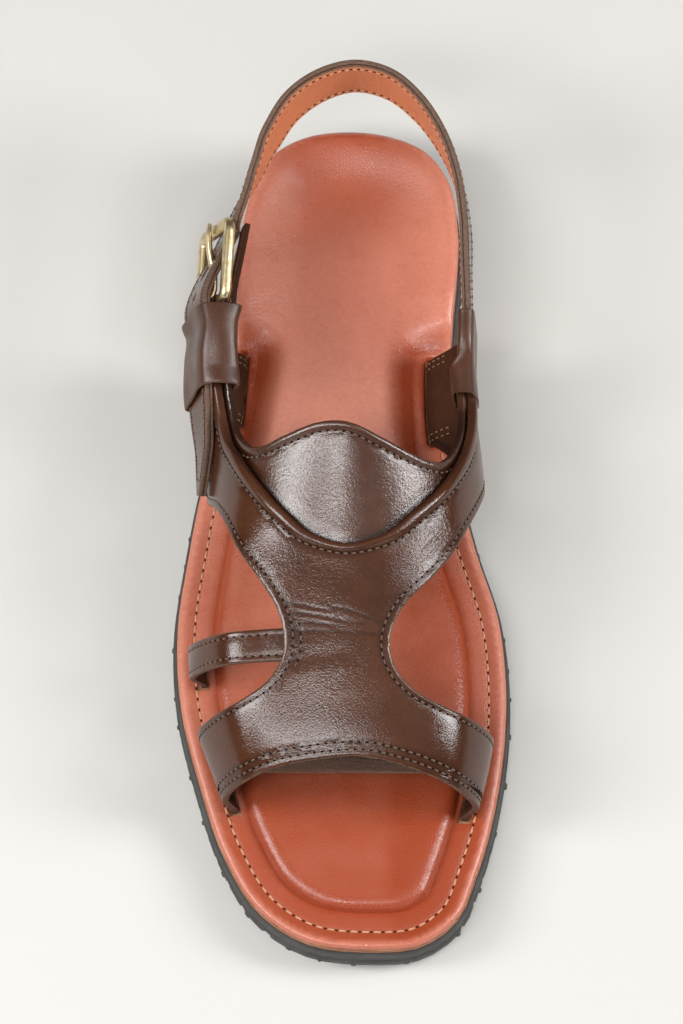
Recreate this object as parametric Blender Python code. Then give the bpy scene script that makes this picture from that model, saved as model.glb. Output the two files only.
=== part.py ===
"""Peshawari chappal, right foot: a leather strap sandal on a rubber outsole.

Tables and sizes are in millimetres. The toe points to -Y, the wearer's outer (lateral) side is -X,
+Z is up, and the origin lies on the ground under the middle of the sole.
"""

import math

import bmesh
import bpy
import numpy as np
from mathutils.geometry import delaunay_2d_cdt

MM = 0.001
GAP = 0.3  # clearance between pieces that are glued or sewn together

# Sole, from the ground up
FOREFOOT_RUBBER = 9.5
HEEL_RUBBER = 16.0
TOE_SPRING = 5.0
SPRING_START_Y = -95.0
TOE_Y = -145.0
SHANK_RISE = 3.5
TREAD_DEPTH = 2.2
TREAD_FLANGE = 0.6
WALL_SET_IN = 0.5
MIDSOLE_THICK = 2.5
MIDSOLE_INSET = 1.5
FOOTBED_INSET = 1.8
RIM_THICK = 2.2
RIM_WIDTH = 12.5
RIM_BY_NOTCH = 8.5  # beside the lateral notch
PAD_RISE = 3.6
HEEL_CUP_RISE = 5.0

# Leather of the upper
VAMP_WALL = 2.4
PANEL_WALL = 2.2
GUARD_DRAW = 1.4
SMALL_STRAP_WALL = 2.0
HEEL_STRAP_WALL = 2.8
KEEPER_WALL = 1.0

# The side notches of the footbed, through which the arms of the upper reach the sole
NOTCH_MEDIAL_Y = (30.5, 60.8)
NOTCH_LATERAL_Y = (36.5, 63.2)

STRAP_SLOTS = (  # name, column of the last's table, y from, y to, how far in from the strap's outer face
    ("slot_lateral", "foot_l", -96.6, -73.8, 3.3),
    ("slot_medial", "foot_m", -99.2, -75.8, 3.3),
    ("slot_small", "foot_l", -53.2, -40.3, 4.0),
)

OUTSOLE_OUTLINE = [  # x, y
    (2, 145), (-12, 142.8), (-24, 135.5), (-32, 121), (-35.8, 104), (-37, 84), (-38, 64), (-41.5, 42),
    (-47.6, 20), (-52.6, -6), (-56.1, -34), (-54.6, -60), (-48, -87), (-39.5, -112), (-27.5, -131.5),
    (-12, -142), (8, -145), (27, -142.8), (38.5, -134), (45.5, -118), (52.5, -92), (56.1, -56),
    (53.8, -29), (46, -3), (40, 24), (38.2, 48), (39.6, 76), (41.4, 104), (38, 124.5), (29, 137),
    (16, 143.2),
]

# Outer face of the upper, one row for each cross-section of the last
SECTIONS = {
    "y":         (-104, -90, -70, -45, -20, 0, 20, 40, 62, 96),
    "foot_l":    (-33.5, -38, -44.5, -48, -46, -43, -39.5, -36.2, -34.6, -32),
    "side_l":    (-36, -41, -48, -51.5, -48, -45.5, -45, -46.5, -45, -38),
    "side_m":    (43, 47, 50.5, 50.5, 49, 48, 45.8, 43.4, 42.5, 42),
    "foot_m":    (40, 43.5, 47, 48, 45, 40, 34.5, 31.6, 31.5, 31),
    "side_l_z":  (25, 26, 27, 28, 28, 26, 26, 32, 39, 46),
    "side_m_z":  (25, 26, 27, 28, 30, 32, 34, 38, 42, 46),
    "crest_x":   (4, 4, 3, 2, 1, 1, 1, 1, 1, 1),
    "crest_z":   (46, 53, 59, 65, 71, 78, 86, 93, 100, 108),
    "fullness":  (0.78, 0.77, 0.76, 0.74, 0.71, 0.68, 0.66, 0.64, 0.64, 0.66),
}
# Position round a section: -1 is the lateral root, 0 the crest, 1 the medial root
SECTION_KNOTS = (-1.0, -0.9, -0.7, -0.36, 0.0, 0.36, 0.7, 0.9, 1.0)
SHOULDER_REACH = 0.74
PATTERN_WIDTH = 75.0  # millimetres of leather for one unit of the position round a section

# Outlines on the last, as (position round the section, y)
VAMP_FRONT = [(-1, -96.5), (-0.68, -96), (-0.42, -94.4), (-0.15, -90.3), (0.05, -89.4), (0.18, -92),
              (0.31, -95), (0.49, -97.6), (0.75, -98.6), (1, -99)]
VAMP_MEDIAL = [(1, -76), (0.7, -75.5), (0.44, -74.6), (0.28, -71.9), (0.2, -68.5), (0.15, -63.7),
               (0.122, -56.5), (0.13, -49), (0.173, -41), (0.26, -31.9), (0.378, -19.7), (0.47, -9),
               (0.58, 2.2), (0.72, 14), (0.8, 21.5), (0.85, 27), (0.91, 30.5), (1, 31.3)]
VAMP_MEDIAL_ROOT = [(1, 59), (0.88, 59.6), (0.75, 60)]
VAMP_MEDIAL_STEP = [(0.725, 58), (0.72, 43.6)]
VAMP_TOP = [(0.585, 42.6), (0.58, 34), (0.55, 27.4), (0.515, 21.3), (0.47, 14.7), (0.409, 7.5), (0.338, 0.3),
            (0.215, -11.1), (0.11, -19.8), (0, -22.7), (-0.1, -19.3), (-0.182, -11.8), (-0.301, 1.4),
            (-0.383, 11), (-0.436, 17.5), (-0.462, 24.5), (-0.472, 31), (-0.48, 38), (-0.5, 47), (-0.525, 56)]
VAMP_LATERAL_ROOT = [(-0.66, 57), (-0.7, 60), (-0.85, 61.5), (-1, 62)]
VAMP_LATERAL = [(-1, 38), (-0.96, 37.6), (-0.9, 36.6), (-0.86, 31.5), (-0.83, 24), (-0.76, 14.5),
                (-0.66, 6.5), (-0.54, 0), (-0.43, -9.5), (-0.37, -17), (-0.31, -24.3), (-0.24, -33.5),
                (-0.195, -42), (-0.178, -50), (-0.187, -58), (-0.235, -65), (-0.32, -69.6), (-0.45, -72),
                (-0.7, -73), (-1, -74)]
PANEL_TOP = [(0.568, 42.4), (0.562, 34), (0.54, 27.6), (0.5, 20.8), (0.45, 14.6), (0.4, 9.9),
             (0.335, 6.8), (0.266, 6.5), (0.2, 7.9), (0.127, 10.3), (0.03, 13.6), (-0.09, 14.6), (-0.205, 12.7),
             (-0.29, 11.4), (-0.345, 12.7), (-0.4, 16.4), (-0.44, 21.4), (-0.458, 28), (-0.464, 38),
             (-0.482, 50), (-0.5, 66), (-0.505, 82)]
PANEL_TIP = (-0.52, 92)
PANEL_UNDER = [(-0.62, 82), (-0.64, 66), (-0.62, 48), (-0.56, 32), (-0.46, 14), (-0.3, -9), (-0.12, -29),
               (0, -33), (0.12, -30), (0.3, -12), (0.47, 6), (0.6, 22), (0.66, 34), (0.67, 42.4)]
SMALL_STRAP_REAR = [(-1, -40.5), (-0.75, -43), (-0.45, -47), (-0.14, -48.5)]
SMALL_STRAP_FRONT = [(-0.14, -59), (-0.45, -57.5), (-0.75, -54.5), (-1, -53)]

# Centre line of the heel strap; lean is how far its top edge tips towards the foot, in degrees
HEEL_STRAP_ROWS = [  # x, y, z, lean, half width
    (41.4, 48.4, 50.7, 4, 10.0),
    (41.7, 60.0, 53.6, 4, 10.0),
    (41.4, 77.0, 59.6, 5, 10.0),
    (40.8, 93.0, 65.5, 7, 10.0),
    (38.0, 107.0, 70.5, 6, 10.0),
    (33.0, 118.5, 73.5, 3, 10.0),
    (25.5, 129.0, 76.0, 1, 10.0),
    (16.0, 136.6, 77.8, 0, 10.0),
    (5.0, 139.4, 78.3, 0, 10.0),
    (-6.5, 136.6, 77.5, -2, 10.0),
    (-16.6, 129.8, 75.0, -4, 10.0),
    (-23.2, 120.5, 71.5, -4, 10.0),
    (-28.0, 110.5, 67.5, 2, 10.0),
    (-32.4, 101.0, 63.4, 11, 10.0),
]
# The strap through the buckle: along the buckle, out of its plane, lean, half width
STRAP_AT_BUCKLE = [
    (13.0, -4.8, 20, 9.9),
    (6.5, -2.2, 20, 9.9),
    (0.0, 0.8, 20, 9.9),
    (-6.5, 3.6, 20, 9.9),
    (-13.0, 5.2, 20, 9.9),
]
STRAP_TAIL = [  # position round the last, y, half width
    (-0.555, 57.0, 10.0),
    (-0.553, 49.0, 10.0),
    (-0.555, 40.0, 10.0),
    (-0.565, 31.0, 9.6),
    (-0.585, 22.5, 8.4),
    (-0.61, 15.0, 6.0),
    (-0.635, 8.0, 2.4),
]
TAIL_LEAN = 3.0  # the tail leans this many degrees more than the leather under it
BUCKLE_CENTRE = (-42.1, 79.5, 56.0)
BUCKLE_SLOPE = 9.0  # degrees that the buckle rises towards the heel
BUCKLE_LEAN = 20.0
BUCKLE_REACH = 13.0  # from the centre to the middle of each end bar
BUCKLE_HALF_WIDTH = 13.5
BUCKLE_CORNER = 3.4
BUCKLE_BAR = (4.2, 3.4)  # width across the frame, thickness
BASE_BAR = 2.4
PRONG = (3.0, 1.8)  # width, thickness
CHAPE_WALL = 1.1
CHAPE_WIDTH = 14.4
HOLE_PITCH = 10.5
KEEPER_LATERAL_Y = (36.5, 62.5)
KEEPER_MEDIAL_Y = (36.0, 60.5)


def hermite(knots, values, at):
    """Smooth curve through values (last axis is the knots) at the positions given."""
    knots = np.asarray(knots, float)
    values = np.asarray(values, float)
    at = np.asarray(at, float)
    step = np.diff(knots)
    slope = np.diff(values, axis=-1) / step
    tangent = np.empty_like(values)
    tangent[..., 1:-1] = (slope[..., :-1] * step[1:] + slope[..., 1:] * step[:-1]) / (step[1:] + step[:-1])
    tangent[..., 0], tangent[..., -1] = slope[..., 0], slope[..., -1]
    i = np.clip(np.searchsorted(knots, at) - 1, 0, len(knots) - 2)
    t = (at - knots[i]) / step[i]
    rows = np.arange(len(at)) if values.ndim > 1 else Ellipsis

    def pick(table, k):
        return table[rows, k] if values.ndim > 1 else table[k]

    return (
        (2 * t**3 - 3 * t**2 + 1) * pick(values, i)
        + (t**3 - 2 * t**2 + t) * step[i] * pick(tangent, i)
        + (3 * t**2 - 2 * t**3) * pick(values, i + 1)
        + (t**3 - t**2) * step[i] * pick(tangent, i + 1)
    )


def spline(points, spacing, closed=False):
    """Points about `spacing` apart on a smooth curve through the given ones."""
    p = np.asarray(points, float)
    if closed:
        p = np.vstack([p[-3:], p, p[:4]])
    gaps = np.linalg.norm(np.diff(p, axis=0), axis=1)
    knots = np.concatenate([[0], np.cumsum(gaps)])
    start, end = (knots[3], knots[-4]) if closed else (knots[0], knots[-1])
    count = max(2, int(round((end - start) / spacing)) + 1)
    at = np.linspace(start, end, count)
    curve = np.column_stack([hermite(knots, p[:, k], at) for k in range(p.shape[1])])
    return curve[:-1] if closed else curve


def smooth(t):
    t = np.clip(t, 0, 1)
    return t * t * (3 - 2 * t)


def unit(v):
    v = np.asarray(v, float)
    return v / np.linalg.norm(v, axis=-1, keepdims=True)


def offset(outline, distance):
    """A closed plan outline moved outwards by distance; inwards when negative."""
    ahead = np.roll(outline, -1, axis=0) - np.roll(outline, 1, axis=0)
    outward = unit(np.column_stack([ahead[:, 1], -ahead[:, 0]]))
    area = np.sum(outline[:, 0] * np.roll(outline[:, 1], -1) - outline[:, 1] * np.roll(outline[:, 0], -1))
    return outline + outward * distance * (1 if area > 0 else -1)


def depth_inside(points, outline):
    """Distance of each plan point from a closed outline, positive inside it."""
    a, b = outline, np.roll(outline, -1, axis=0)
    ab = b - a
    ap = points[:, None] - a[None]
    t = np.clip(np.sum(ap * ab, axis=2) / np.sum(ab * ab, axis=1), 0, 1)
    far = np.linalg.norm(ap - t[..., None] * ab, axis=2).min(axis=1)
    y = points[:, None, 1]
    crosses = (a[None, :, 1] > y) != (b[None, :, 1] > y)
    drop = np.where(np.abs(ab[:, 1]) < 1e-12, 1e-12, ab[:, 1])
    x_hit = a[None, :, 0] + (y - a[None, :, 1]) / drop[None] * ab[None, :, 0]
    inside = np.sum(crosses & (points[:, None, 0] < x_hit), axis=1) % 2 == 1
    return np.where(inside, far, -far)


def sole_line(y):
    """Height of the outsole's top over the ground: low forefoot, higher heel, toe spring."""
    y = np.asarray(y, float)
    ramp = FOREFOOT_RUBBER + (HEEL_RUBBER - FOREFOOT_RUBBER) * smooth((y + 20) / 80)
    spring = np.clip((SPRING_START_Y - y) / (SPRING_START_Y - TOE_Y), 0, 1)
    return ramp + TOE_SPRING * spring**2


def midsole_top(y):
    return sole_line(y) + GAP + MIDSOLE_THICK


def last_surface(w, y):
    """Point of the upper's outer face at position w round the section at y."""
    w, y = np.atleast_1d(np.asarray(w, float)), np.atleast_1d(np.asarray(y, float))
    row = {name: hermite(SECTIONS["y"], column, y) for name, column in SECTIONS.items() if name != "y"}
    root_z = midsole_top(y) + GAP
    foot_z = root_z + RIM_THICK + 1.0
    reach, full = SHOULDER_REACH, row["fullness"]
    shoulder_l = row["side_l_z"] + full * (row["crest_z"] - row["side_l_z"])
    shoulder_m = row["side_m_z"] + full * (row["crest_z"] - row["side_m_z"])
    x = np.column_stack([
        row["foot_l"], row["foot_l"], row["side_l"],
        row["crest_x"] + reach * (row["side_l"] - row["crest_x"]), row["crest_x"],
        row["crest_x"] + reach * (row["side_m"] - row["crest_x"]),
        row["side_m"], row["foot_m"], row["foot_m"],
    ])
    z = np.column_stack([
        root_z, foot_z, row["side_l_z"], shoulder_l, row["crest_z"], shoulder_m, row["side_m_z"], foot_z,
        root_z,
    ])
    return np.column_stack([hermite(SECTION_KNOTS, x, w), y, hermite(SECTION_KNOTS, z, w)])


def last_normal(w, y):
    """Outward unit normal of the last."""
    dw, dy = 0.01, 0.5
    low, high = np.maximum(w - dw, -1), np.minimum(w + dw, 1)
    across = last_surface(high, y) - last_surface(low, y)
    along = last_surface(w, y + dy) - last_surface(w, y - dy)
    return unit(np.cross(across, along))


def fill(outline, spacing, rings=()):
    """Triangles inside a closed plan outline, with grid points: (points, faces, outline indices)."""
    low, high = outline.min(axis=0), outline.max(axis=0)
    xs = np.arange(low[0] + spacing / 2, high[0], spacing)
    ys = np.arange(low[1] + spacing / 2, high[1], spacing * 0.87)
    grid = np.array([(x + (j % 2) * spacing / 2, y) for j, y in enumerate(ys) for x in xs]).reshape(-1, 2)
    loops = [outline, *rings]
    for loop in loops:
        grid = grid[np.abs(depth_inside(grid, loop)) > spacing * 0.45]
    grid = grid[depth_inside(grid, outline) > 0]
    edges, start = [], 0
    for loop in loops:
        n = len(loop)
        edges += [(start + k, start + (k + 1) % n) for k in range(n)]
        start += n
    points = np.vstack([*loops, grid])
    made = delaunay_2d_cdt([tuple(p) for p in points], edges, [], 1, 1e-6)
    verts = np.array([tuple(v) for v in made[0]])
    source = {original: k for k, group in enumerate(made[3]) for original in group}
    return verts, [list(f) for f in made[2]], [source[k] for k in range(len(outline))]


def add_object(name, verts, faces, material):
    """A mesh object from points in millimetres, its faces turned outwards."""
    mesh = bpy.data.meshes.new(name)
    mesh.from_pydata([tuple(v * MM) for v in np.asarray(verts, float)], [], faces)
    bm = bmesh.new()
    bm.from_mesh(mesh)
    bmesh.ops.recalc_face_normals(bm, faces=bm.faces)
    bm.to_mesh(mesh)
    bm.free()
    mesh.shade_smooth()
    mesh.set_sharp_from_angle(angle=math.radians(40))
    mesh.materials.append(material)
    obj = bpy.data.objects.new(name, mesh)
    bpy.context.scene.collection.objects.link(obj)
    return obj


def slab(name, levels, spacing, material, rings=()):
    """A closed solid from plan outlines stacked bottom to top, each with its height function of (x, y)."""
    verts, faces, loops = [], [], []
    for k, (outline, height) in enumerate(levels):
        start = len(verts)
        if k in (0, len(levels) - 1):
            plan, triangles, rim = fill(outline, spacing, rings if k else ())
            verts += [(x, y, z) for (x, y), z in zip(plan, height(plan[:, 0], plan[:, 1]))]
            faces += [[start + i for i in (f if k else f[::-1])] for f in triangles]
            loops.append([start + i for i in rim])
        else:
            verts += [(x, y, z) for (x, y), z in zip(outline, height(outline[:, 0], outline[:, 1]))]
            loops.append(list(range(start, start + len(outline))))
    for lower, upper in zip(loops, loops[1:]):
        n = len(lower)
        faces += [[lower[i], lower[(i + 1) % n], upper[(i + 1) % n], upper[i]] for i in range(n)]
    return add_object(name, verts, faces, material)


def patch(name, outline, wall, material, under=lambda y: 0.0 * y, spacing=5.0):
    """A piece of leather cut to an outline on the last, its outer face under(y) below the last's."""
    flat = np.column_stack([outline[:, 0] * PATTERN_WIDTH, outline[:, 1]])
    plan, triangles, rim = fill(flat, spacing)
    w, y = np.clip(plan[:, 0] / PATTERN_WIDTH, -1, 1), plan[:, 1]
    surface, normal = last_surface(w, y), last_normal(w, y)
    depth = under(y)[:, None]
    outer, inner = surface - normal * depth, surface - normal * (depth + wall)
    floor = midsole_top(y) + GAP
    outer[:, 2], inner[:, 2] = np.maximum(outer[:, 2], floor), np.maximum(inner[:, 2], floor)
    n, m = len(plan), len(rim)
    faces = [list(f) for f in triangles] + [[n + i for i in f[::-1]] for f in triangles]
    faces += [[rim[i], rim[(i + 1) % m], n + rim[(i + 1) % m], n + rim[i]] for i in range(m)]
    return add_object(name, np.vstack([outer, inner]), faces, material)


def sweep(name, frames, section, material, closed=False):
    """A section of (across, outwards) points carried along frames of (centre, across axis, outward axis)."""
    verts, faces, m = [], [], len(section)
    for k, (centre, across, outward) in enumerate(frames):
        shape = section[k] if isinstance(section[0], list) else section
        m = len(shape)
        verts += [np.asarray(centre) + a * np.asarray(across) + b * np.asarray(outward) for a, b in shape]
    count = len(frames)
    for k in range(count if closed else count - 1):
        a, b = k * m, ((k + 1) % count) * m
        faces += [[a + i, a + (i + 1) % m, b + (i + 1) % m, b + i] for i in range(m)]
    if not closed:
        faces += [list(range(m))[::-1], list(range((count - 1) * m, count * m))]
    return add_object(name, verts, faces, material)


def rounded_bar(width, height, corner_steps=2, radius=None):
    """Section of a bar with rounded corners, as (across, outwards) points."""
    r = min(width, height) * 0.42 if radius is None else radius
    points = []
    for k, (sx, sy) in enumerate([(1, 1), (-1, 1), (-1, -1), (1, -1)]):
        for i in range(corner_steps + 1):
            a = math.radians(90 * k + 90 * i / corner_steps)
            points.append((sx * (width / 2 - r) + r * math.cos(a), sy * (height / 2 - r) + r * math.sin(a)))
    return points


def material(name, colour, roughness, metallic=0.0):
    made = bpy.data.materials.new(name)
    made.use_nodes = True
    shader = made.node_tree.nodes["Principled BSDF"]
    shader.inputs["Base Color"].default_value = (*colour, 1)
    shader.inputs["Roughness"].default_value = roughness
    shader.inputs["Metallic"].default_value = metallic
    return made


def cut(target, cutter, operation="DIFFERENCE"):
    """A Boolean on target; the other object is only a helper."""
    modifier = target.modifiers.new(cutter.name, "BOOLEAN")
    modifier.object = cutter
    modifier.operation = operation
    cutter.hide_render = True
    cutter.display_type = "WIRE"


def ground_line(x, y):
    """Underside of the outsole: flat forefoot and heel, raised shank, toe spring."""
    shank = smooth((y - 4) / 18) * (1 - smooth((y - 63) / 3))
    spring = np.clip((SPRING_START_Y - y) / (SPRING_START_Y - TOE_Y), 0, 1)
    return SHANK_RISE * shank + TOE_SPRING * spring**2 + 0 * x


def make_outsole(outline, rubber):
    def up(rise):
        return lambda x, y: ground_line(x, y) + rise

    flange = offset(outline, TREAD_FLANGE - WALL_SET_IN)
    wall = offset(outline, -WALL_SET_IN)
    outsole = slab("outsole", [
        (flange, up(0)),
        (flange, up(TREAD_DEPTH + 0.4)),
        (wall, up(TREAD_DEPTH + 1.0)),
        (wall, lambda x, y: sole_line(y) - 0.6),
        (offset(outline, -WALL_SET_IN - 0.6), lambda x, y: sole_line(y)),
    ], 11.0, rubber)
    cut(outsole, make_tread_cutter(rubber))
    return outsole


def make_tread_cutter(rubber):
    """Chevron grooves across the forefoot and the heel, all in one mesh."""
    pitch, width, half_span, sweep_back = 8.0, 2.6, 70.0, 8.0
    rows = [-137 + pitch * k for k in range(17)] + [73 + pitch * k for k in range(9)]
    verts, faces = [], []
    for y in rows:
        top = float(ground_line(0.0, np.array(y))) + TREAD_DEPTH
        start = len(verts)
        for x, back in ((-half_span, sweep_back), (0.0, 0.0), (half_span, sweep_back)):
            for dy, z in ((-width / 2, -3), (width / 2, -3), (width / 2 - 0.4, top), (-width / 2 + 0.4, top)):
                verts.append((x, y + dy + back, z))
        for a in (start, start + 4):
            faces += [[a + i, a + (i + 1) % 4, a + 4 + (i + 1) % 4, a + 4 + i] for i in range(4)]
        faces += [[start + i for i in (3, 2, 1, 0)], [start + 8 + i for i in range(4)]]
    return add_object("tread_cutter", verts, faces, rubber)


def foot_x(column, y):
    return hermite(SECTIONS["y"], SECTIONS[column], np.asarray(y, float))


def notched(outline):
    """The footbed's outline with its two side notches."""
    reach = VAMP_WALL + GAP + 0.5
    kept = []
    for x, y in outline:
        low, high = NOTCH_MEDIAL_Y if x > 0 else NOTCH_LATERAL_Y
        kept.append(not low - 1.5 < y < high + 1.5)
    pieces, count = [], len(outline)
    for i in range(count):
        if kept[i]:
            pieces.append(tuple(outline[i]))
        elif kept[i - 1]:
            medial = outline[i][0] > 0
            low, high = NOTCH_MEDIAL_Y if medial else NOTCH_LATERAL_Y
            column, side = ("foot_m", 1) if medial else ("foot_l", -1)
            ys = np.linspace(low, high, 7)
            inner = [(float(foot_x(column, y)) - side * reach, y) for y in ys]
            edge = {end: side * np.interp(end, *edge_table(outline, side)) for end in (low, high)}
            run = [(edge[low], low), (inner[0][0] + side * 2.5, low), *inner,
                   (inner[-1][0] + side * 2.5, high), (edge[high], high)]
            pieces += run if run_forward(outline, i) else run[::-1]
    return np.array(pieces)


def run_forward(outline, i):
    """True where the outline runs towards the heel at point i."""
    return outline[(i + 1) % len(outline)][1] > outline[i][1]


def edge_table(outline, side):
    """(y, half width) of one side of an outline, for interpolation."""
    points = sorted((y, side * x) for x, y in outline if side * x > 20)
    return [p[0] for p in points], [p[1] for p in points]


def pad_outline(outline):
    """Plan of the raised pad: inside the stitched rim in front, full width behind the notches."""
    by_notch = smooth((outline[:, 1] - 5) / 28) * (outline[:, 0] < 0)
    narrow = (RIM_WIDTH + (RIM_BY_NOTCH - RIM_WIDTH) * by_notch)[:, None]
    inner = outline + (offset(outline, -1.0) - outline) * narrow
    behind = smooth((outline[:, 1] - 42) / 12)[:, None]
    wide = offset(outline, 6.0)
    return inner * (1 - behind) + wide * behind


def make_footbed(outline, leather):
    plan = notched(outline)
    pad = pad_outline(outline)

    def top(x, y):
        points = np.column_stack([x, y])
        into_pad = depth_inside(points, pad)
        to_edge = np.clip(depth_inside(points, outline), 0, None)
        to_cut = np.clip(depth_inside(points, plan), 0, None)
        shoulder = np.clip(into_pad / 5.0, 0, 1)
        rise = PAD_RISE * np.sqrt(1 - (1 - shoulder) ** 2) - 0.7 * smooth((into_pad - 5) / 12)
        cup = HEEL_CUP_RISE * (1 - smooth((to_edge - 2) / 17)) * smooth((y - 50) / 30)
        round_edge = 1.0 * (1 - np.sqrt(1 - (1 - np.clip(to_cut / 1.6, 0, 1)) ** 2))
        return midsole_top(y) + GAP + RIM_THICK + rise + cup - round_edge

    return slab("footbed", [
        (plan, lambda x, y: midsole_top(y) + GAP),
        (plan, top),
    ], 7.5, leather, rings=[clip_ring(pad, plan)])


def clip_ring(ring, plan):
    """The part of a ring that lies well inside a plan outline, closed on itself."""
    return ring[depth_inside(ring, plan) > 3.0]


def make_slot_cutter(name, column, y_low, y_high, reach, leather):
    """A narrow upright slot through the footbed's rim, along the root of a strap."""
    outward = -1 if column == "foot_l" else 1
    ys = np.linspace(y_low - 0.9, y_high + 0.9, 6)
    outer = [(float(foot_x(column, y)) + outward * 0.9, y) for y in ys]
    inner = [(float(foot_x(column, y)) - outward * reach, y) for y in ys]
    outline = np.array(outer + inner[::-1])
    return slab(name, [(outline, lambda x, y: sole_line(y) - 2), (outline, lambda x, y: sole_line(y) + 20)],
                20.0, leather)


def make_vamp(leather):
    step = 4.5
    parts = [pattern_curve(p, step) for p in (VAMP_FRONT, VAMP_MEDIAL, VAMP_MEDIAL_ROOT, VAMP_MEDIAL_STEP,
                                              VAMP_TOP, VAMP_LATERAL_ROOT, VAMP_LATERAL)]
    outline = join_curves(parts, step)
    vamp = patch("vamp", outline, VAMP_WALL, leather)
    strap_curves = [pattern_curve(p, step) for p in (SMALL_STRAP_REAR, SMALL_STRAP_FRONT)]
    strap = patch("small_strap_blank", join_curves(strap_curves, step), SMALL_STRAP_WALL, leather,
                  under=lambda y: VAMP_WALL * 0.45 + 0 * y)
    cut(vamp, strap, "UNION")
    return vamp


def pattern_curve(points, spacing):
    """A smooth outline curve, spaced evenly in the flat pattern."""
    p = np.asarray(points, float) * (PATTERN_WIDTH, 1)
    return spline(p, spacing) / (PATTERN_WIDTH, 1)


def join_curves(curves, spacing):
    """Curves joined end to end into one closed outline, with straight runs across the gaps."""
    scale = np.array([PATTERN_WIDTH, 1.0])
    joined = []
    for k, curve in enumerate(curves):
        following = curves[(k + 1) % len(curves)][0]
        joined.append(curve[:-1])
        gap = np.linalg.norm((following - curve[-1]) * scale)
        if gap > 1e-6:
            count = max(1, int(round(gap / spacing)))
            share = np.arange(count)[:, None] / count
            joined.append(curve[-1] * (1 - share) + following * share)
    return np.vstack(joined)


def make_instep_panel(leather):
    top = pattern_curve([*PANEL_TOP, PANEL_TIP], 4.5)
    under = pattern_curve([PANEL_TIP, *PANEL_UNDER], 4.5)
    outline = join_curves([top, under], 4.5)
    return patch("instep_panel", outline, PANEL_WALL, leather, under=panel_depth)


def panel_depth(y):
    """The panel lies against the vamp, then draws in behind the buckle to keep it off the foot."""
    return VAMP_WALL + GAP + 0.25 + GUARD_DRAW * smooth((y - 56) / 8)


def buckle_axes():
    """Unit vectors of the buckle: towards the heel, up across the strap, and outwards."""
    slope, lean = math.radians(BUCKLE_SLOPE), math.radians(BUCKLE_LEAN)
    along = unit([0.06, math.cos(slope), math.sin(slope)])
    up = np.array([math.sin(lean), 0, math.cos(lean)])
    up = unit(up - along * np.dot(up, along))
    return along, up, unit(np.cross(up, along))


def strap_frames():
    """Frames (centre, width axis, outward axis, half width) along the heel strap, evenly spaced."""
    along, up, out = buckle_axes()
    centre = np.array(BUCKLE_CENTRE)
    rows = [list(r) for r in HEEL_STRAP_ROWS]
    for u, n, lean, half in STRAP_AT_BUCKLE:
        rows.append([*(centre + along * u + out * n), lean, half])
    for w, y, half in STRAP_TAIL:
        normal = last_normal(w, y)[0]
        lean = math.degrees(math.atan2(normal[2], math.hypot(normal[0], normal[1]))) + TAIL_LEAN
        rows.append([*(last_surface(w, y)[0] + normal * (HEEL_STRAP_WALL / 2 + 2 * GAP)), lean, half])
    path = spline(rows, 5.0)
    tangent = unit(np.gradient(path[:, :3], axis=0))
    frames = []
    for p, t in zip(path, tangent):
        level_out = unit(np.cross(t, [0, 0, 1]))
        upright = np.cross(level_out, t)
        lean = math.radians(p[3])
        width_axis = math.cos(lean) * upright - math.sin(lean) * level_out
        outward = np.cross(t, width_axis)
        frames.append((p[:3], width_axis, outward, p[4]))
    return frames


def make_heel_strap(leather):
    half_wall = HEEL_STRAP_WALL / 2
    frames, sections = [], []
    for centre, width_axis, outward, half in strap_frames():
        frames.append((centre, width_axis, outward))
        sections.append([(-half, -half_wall), (half, -half_wall), (half, half_wall), (-half, half_wall)])
    strap = sweep("heel_strap", frames, sections, leather)
    cut(strap, make_hole_cutter(leather))
    return strap


def strap_point(y, side, across=0.0, outward=0.0):
    """Where the heel strap passes y on one side (-1 lateral, 1 medial), `across` its width (-1 to 1)."""
    line = [centre + up * half * across + out * outward
            for centre, up, out, half in strap_frames() if centre[0] * side > 20]
    line = np.array(sorted(line, key=lambda p: p[1]))
    return np.array([np.interp(y, line[:, 1], line[:, k]) for k in range(3)])


def make_hole_cutter(leather):
    """Pin holes down the middle of the strap; the prong stands in the long one."""
    along, up, out = buckle_axes()
    centre = np.array(BUCKLE_CENTRE)
    verts, faces = [], []
    spots = [(centre + along * 0.4, along, out, 5.4)]
    for k in (1, 2, 3):
        y = BUCKLE_CENTRE[1] - k * HOLE_PITCH
        middle = strap_point(y, -1)
        outward = unit(strap_point(y, -1, 0, 1) - middle)
        spots.append((middle, unit(np.cross(outward, up)) * -1, outward, 1.3))
    for middle, direction, outward, half_length in spots:
        start = len(verts)
        sideways = unit(np.cross(direction, outward))
        for depth in (-5, 5):
            for k in range(8):
                a = math.radians(45 * k + 22.5)
                verts.append(middle + outward * depth + direction * half_length * math.cos(a)
                             + sideways * min(half_length, 2.3) * math.sin(a))
        faces += [[start + k, start + (k + 1) % 8, start + 8 + (k + 1) % 8, start + 8 + k] for k in range(8)]
        faces += [[start + k for k in range(8)][::-1], [start + 8 + k for k in range(8)]]
    return add_object("hole_cutter", verts, faces, leather)


def band_section(path, wall):
    """Closed section of a thin band: the path of (x, z) points and its copy `wall` to the left."""
    step = unit(np.diff(path, axis=0))
    ahead = unit(np.vstack([step[:1], step[:-1] + step[1:], step[-1:]]))
    left = np.column_stack([-ahead[:, 1], ahead[:, 0]])
    reach = wall / np.clip(np.sum(ahead * np.vstack([step[:1], step]), axis=1), 0.7, 1)
    return np.vstack([path, (path + left * reach[:, None])[::-1]])


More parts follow.
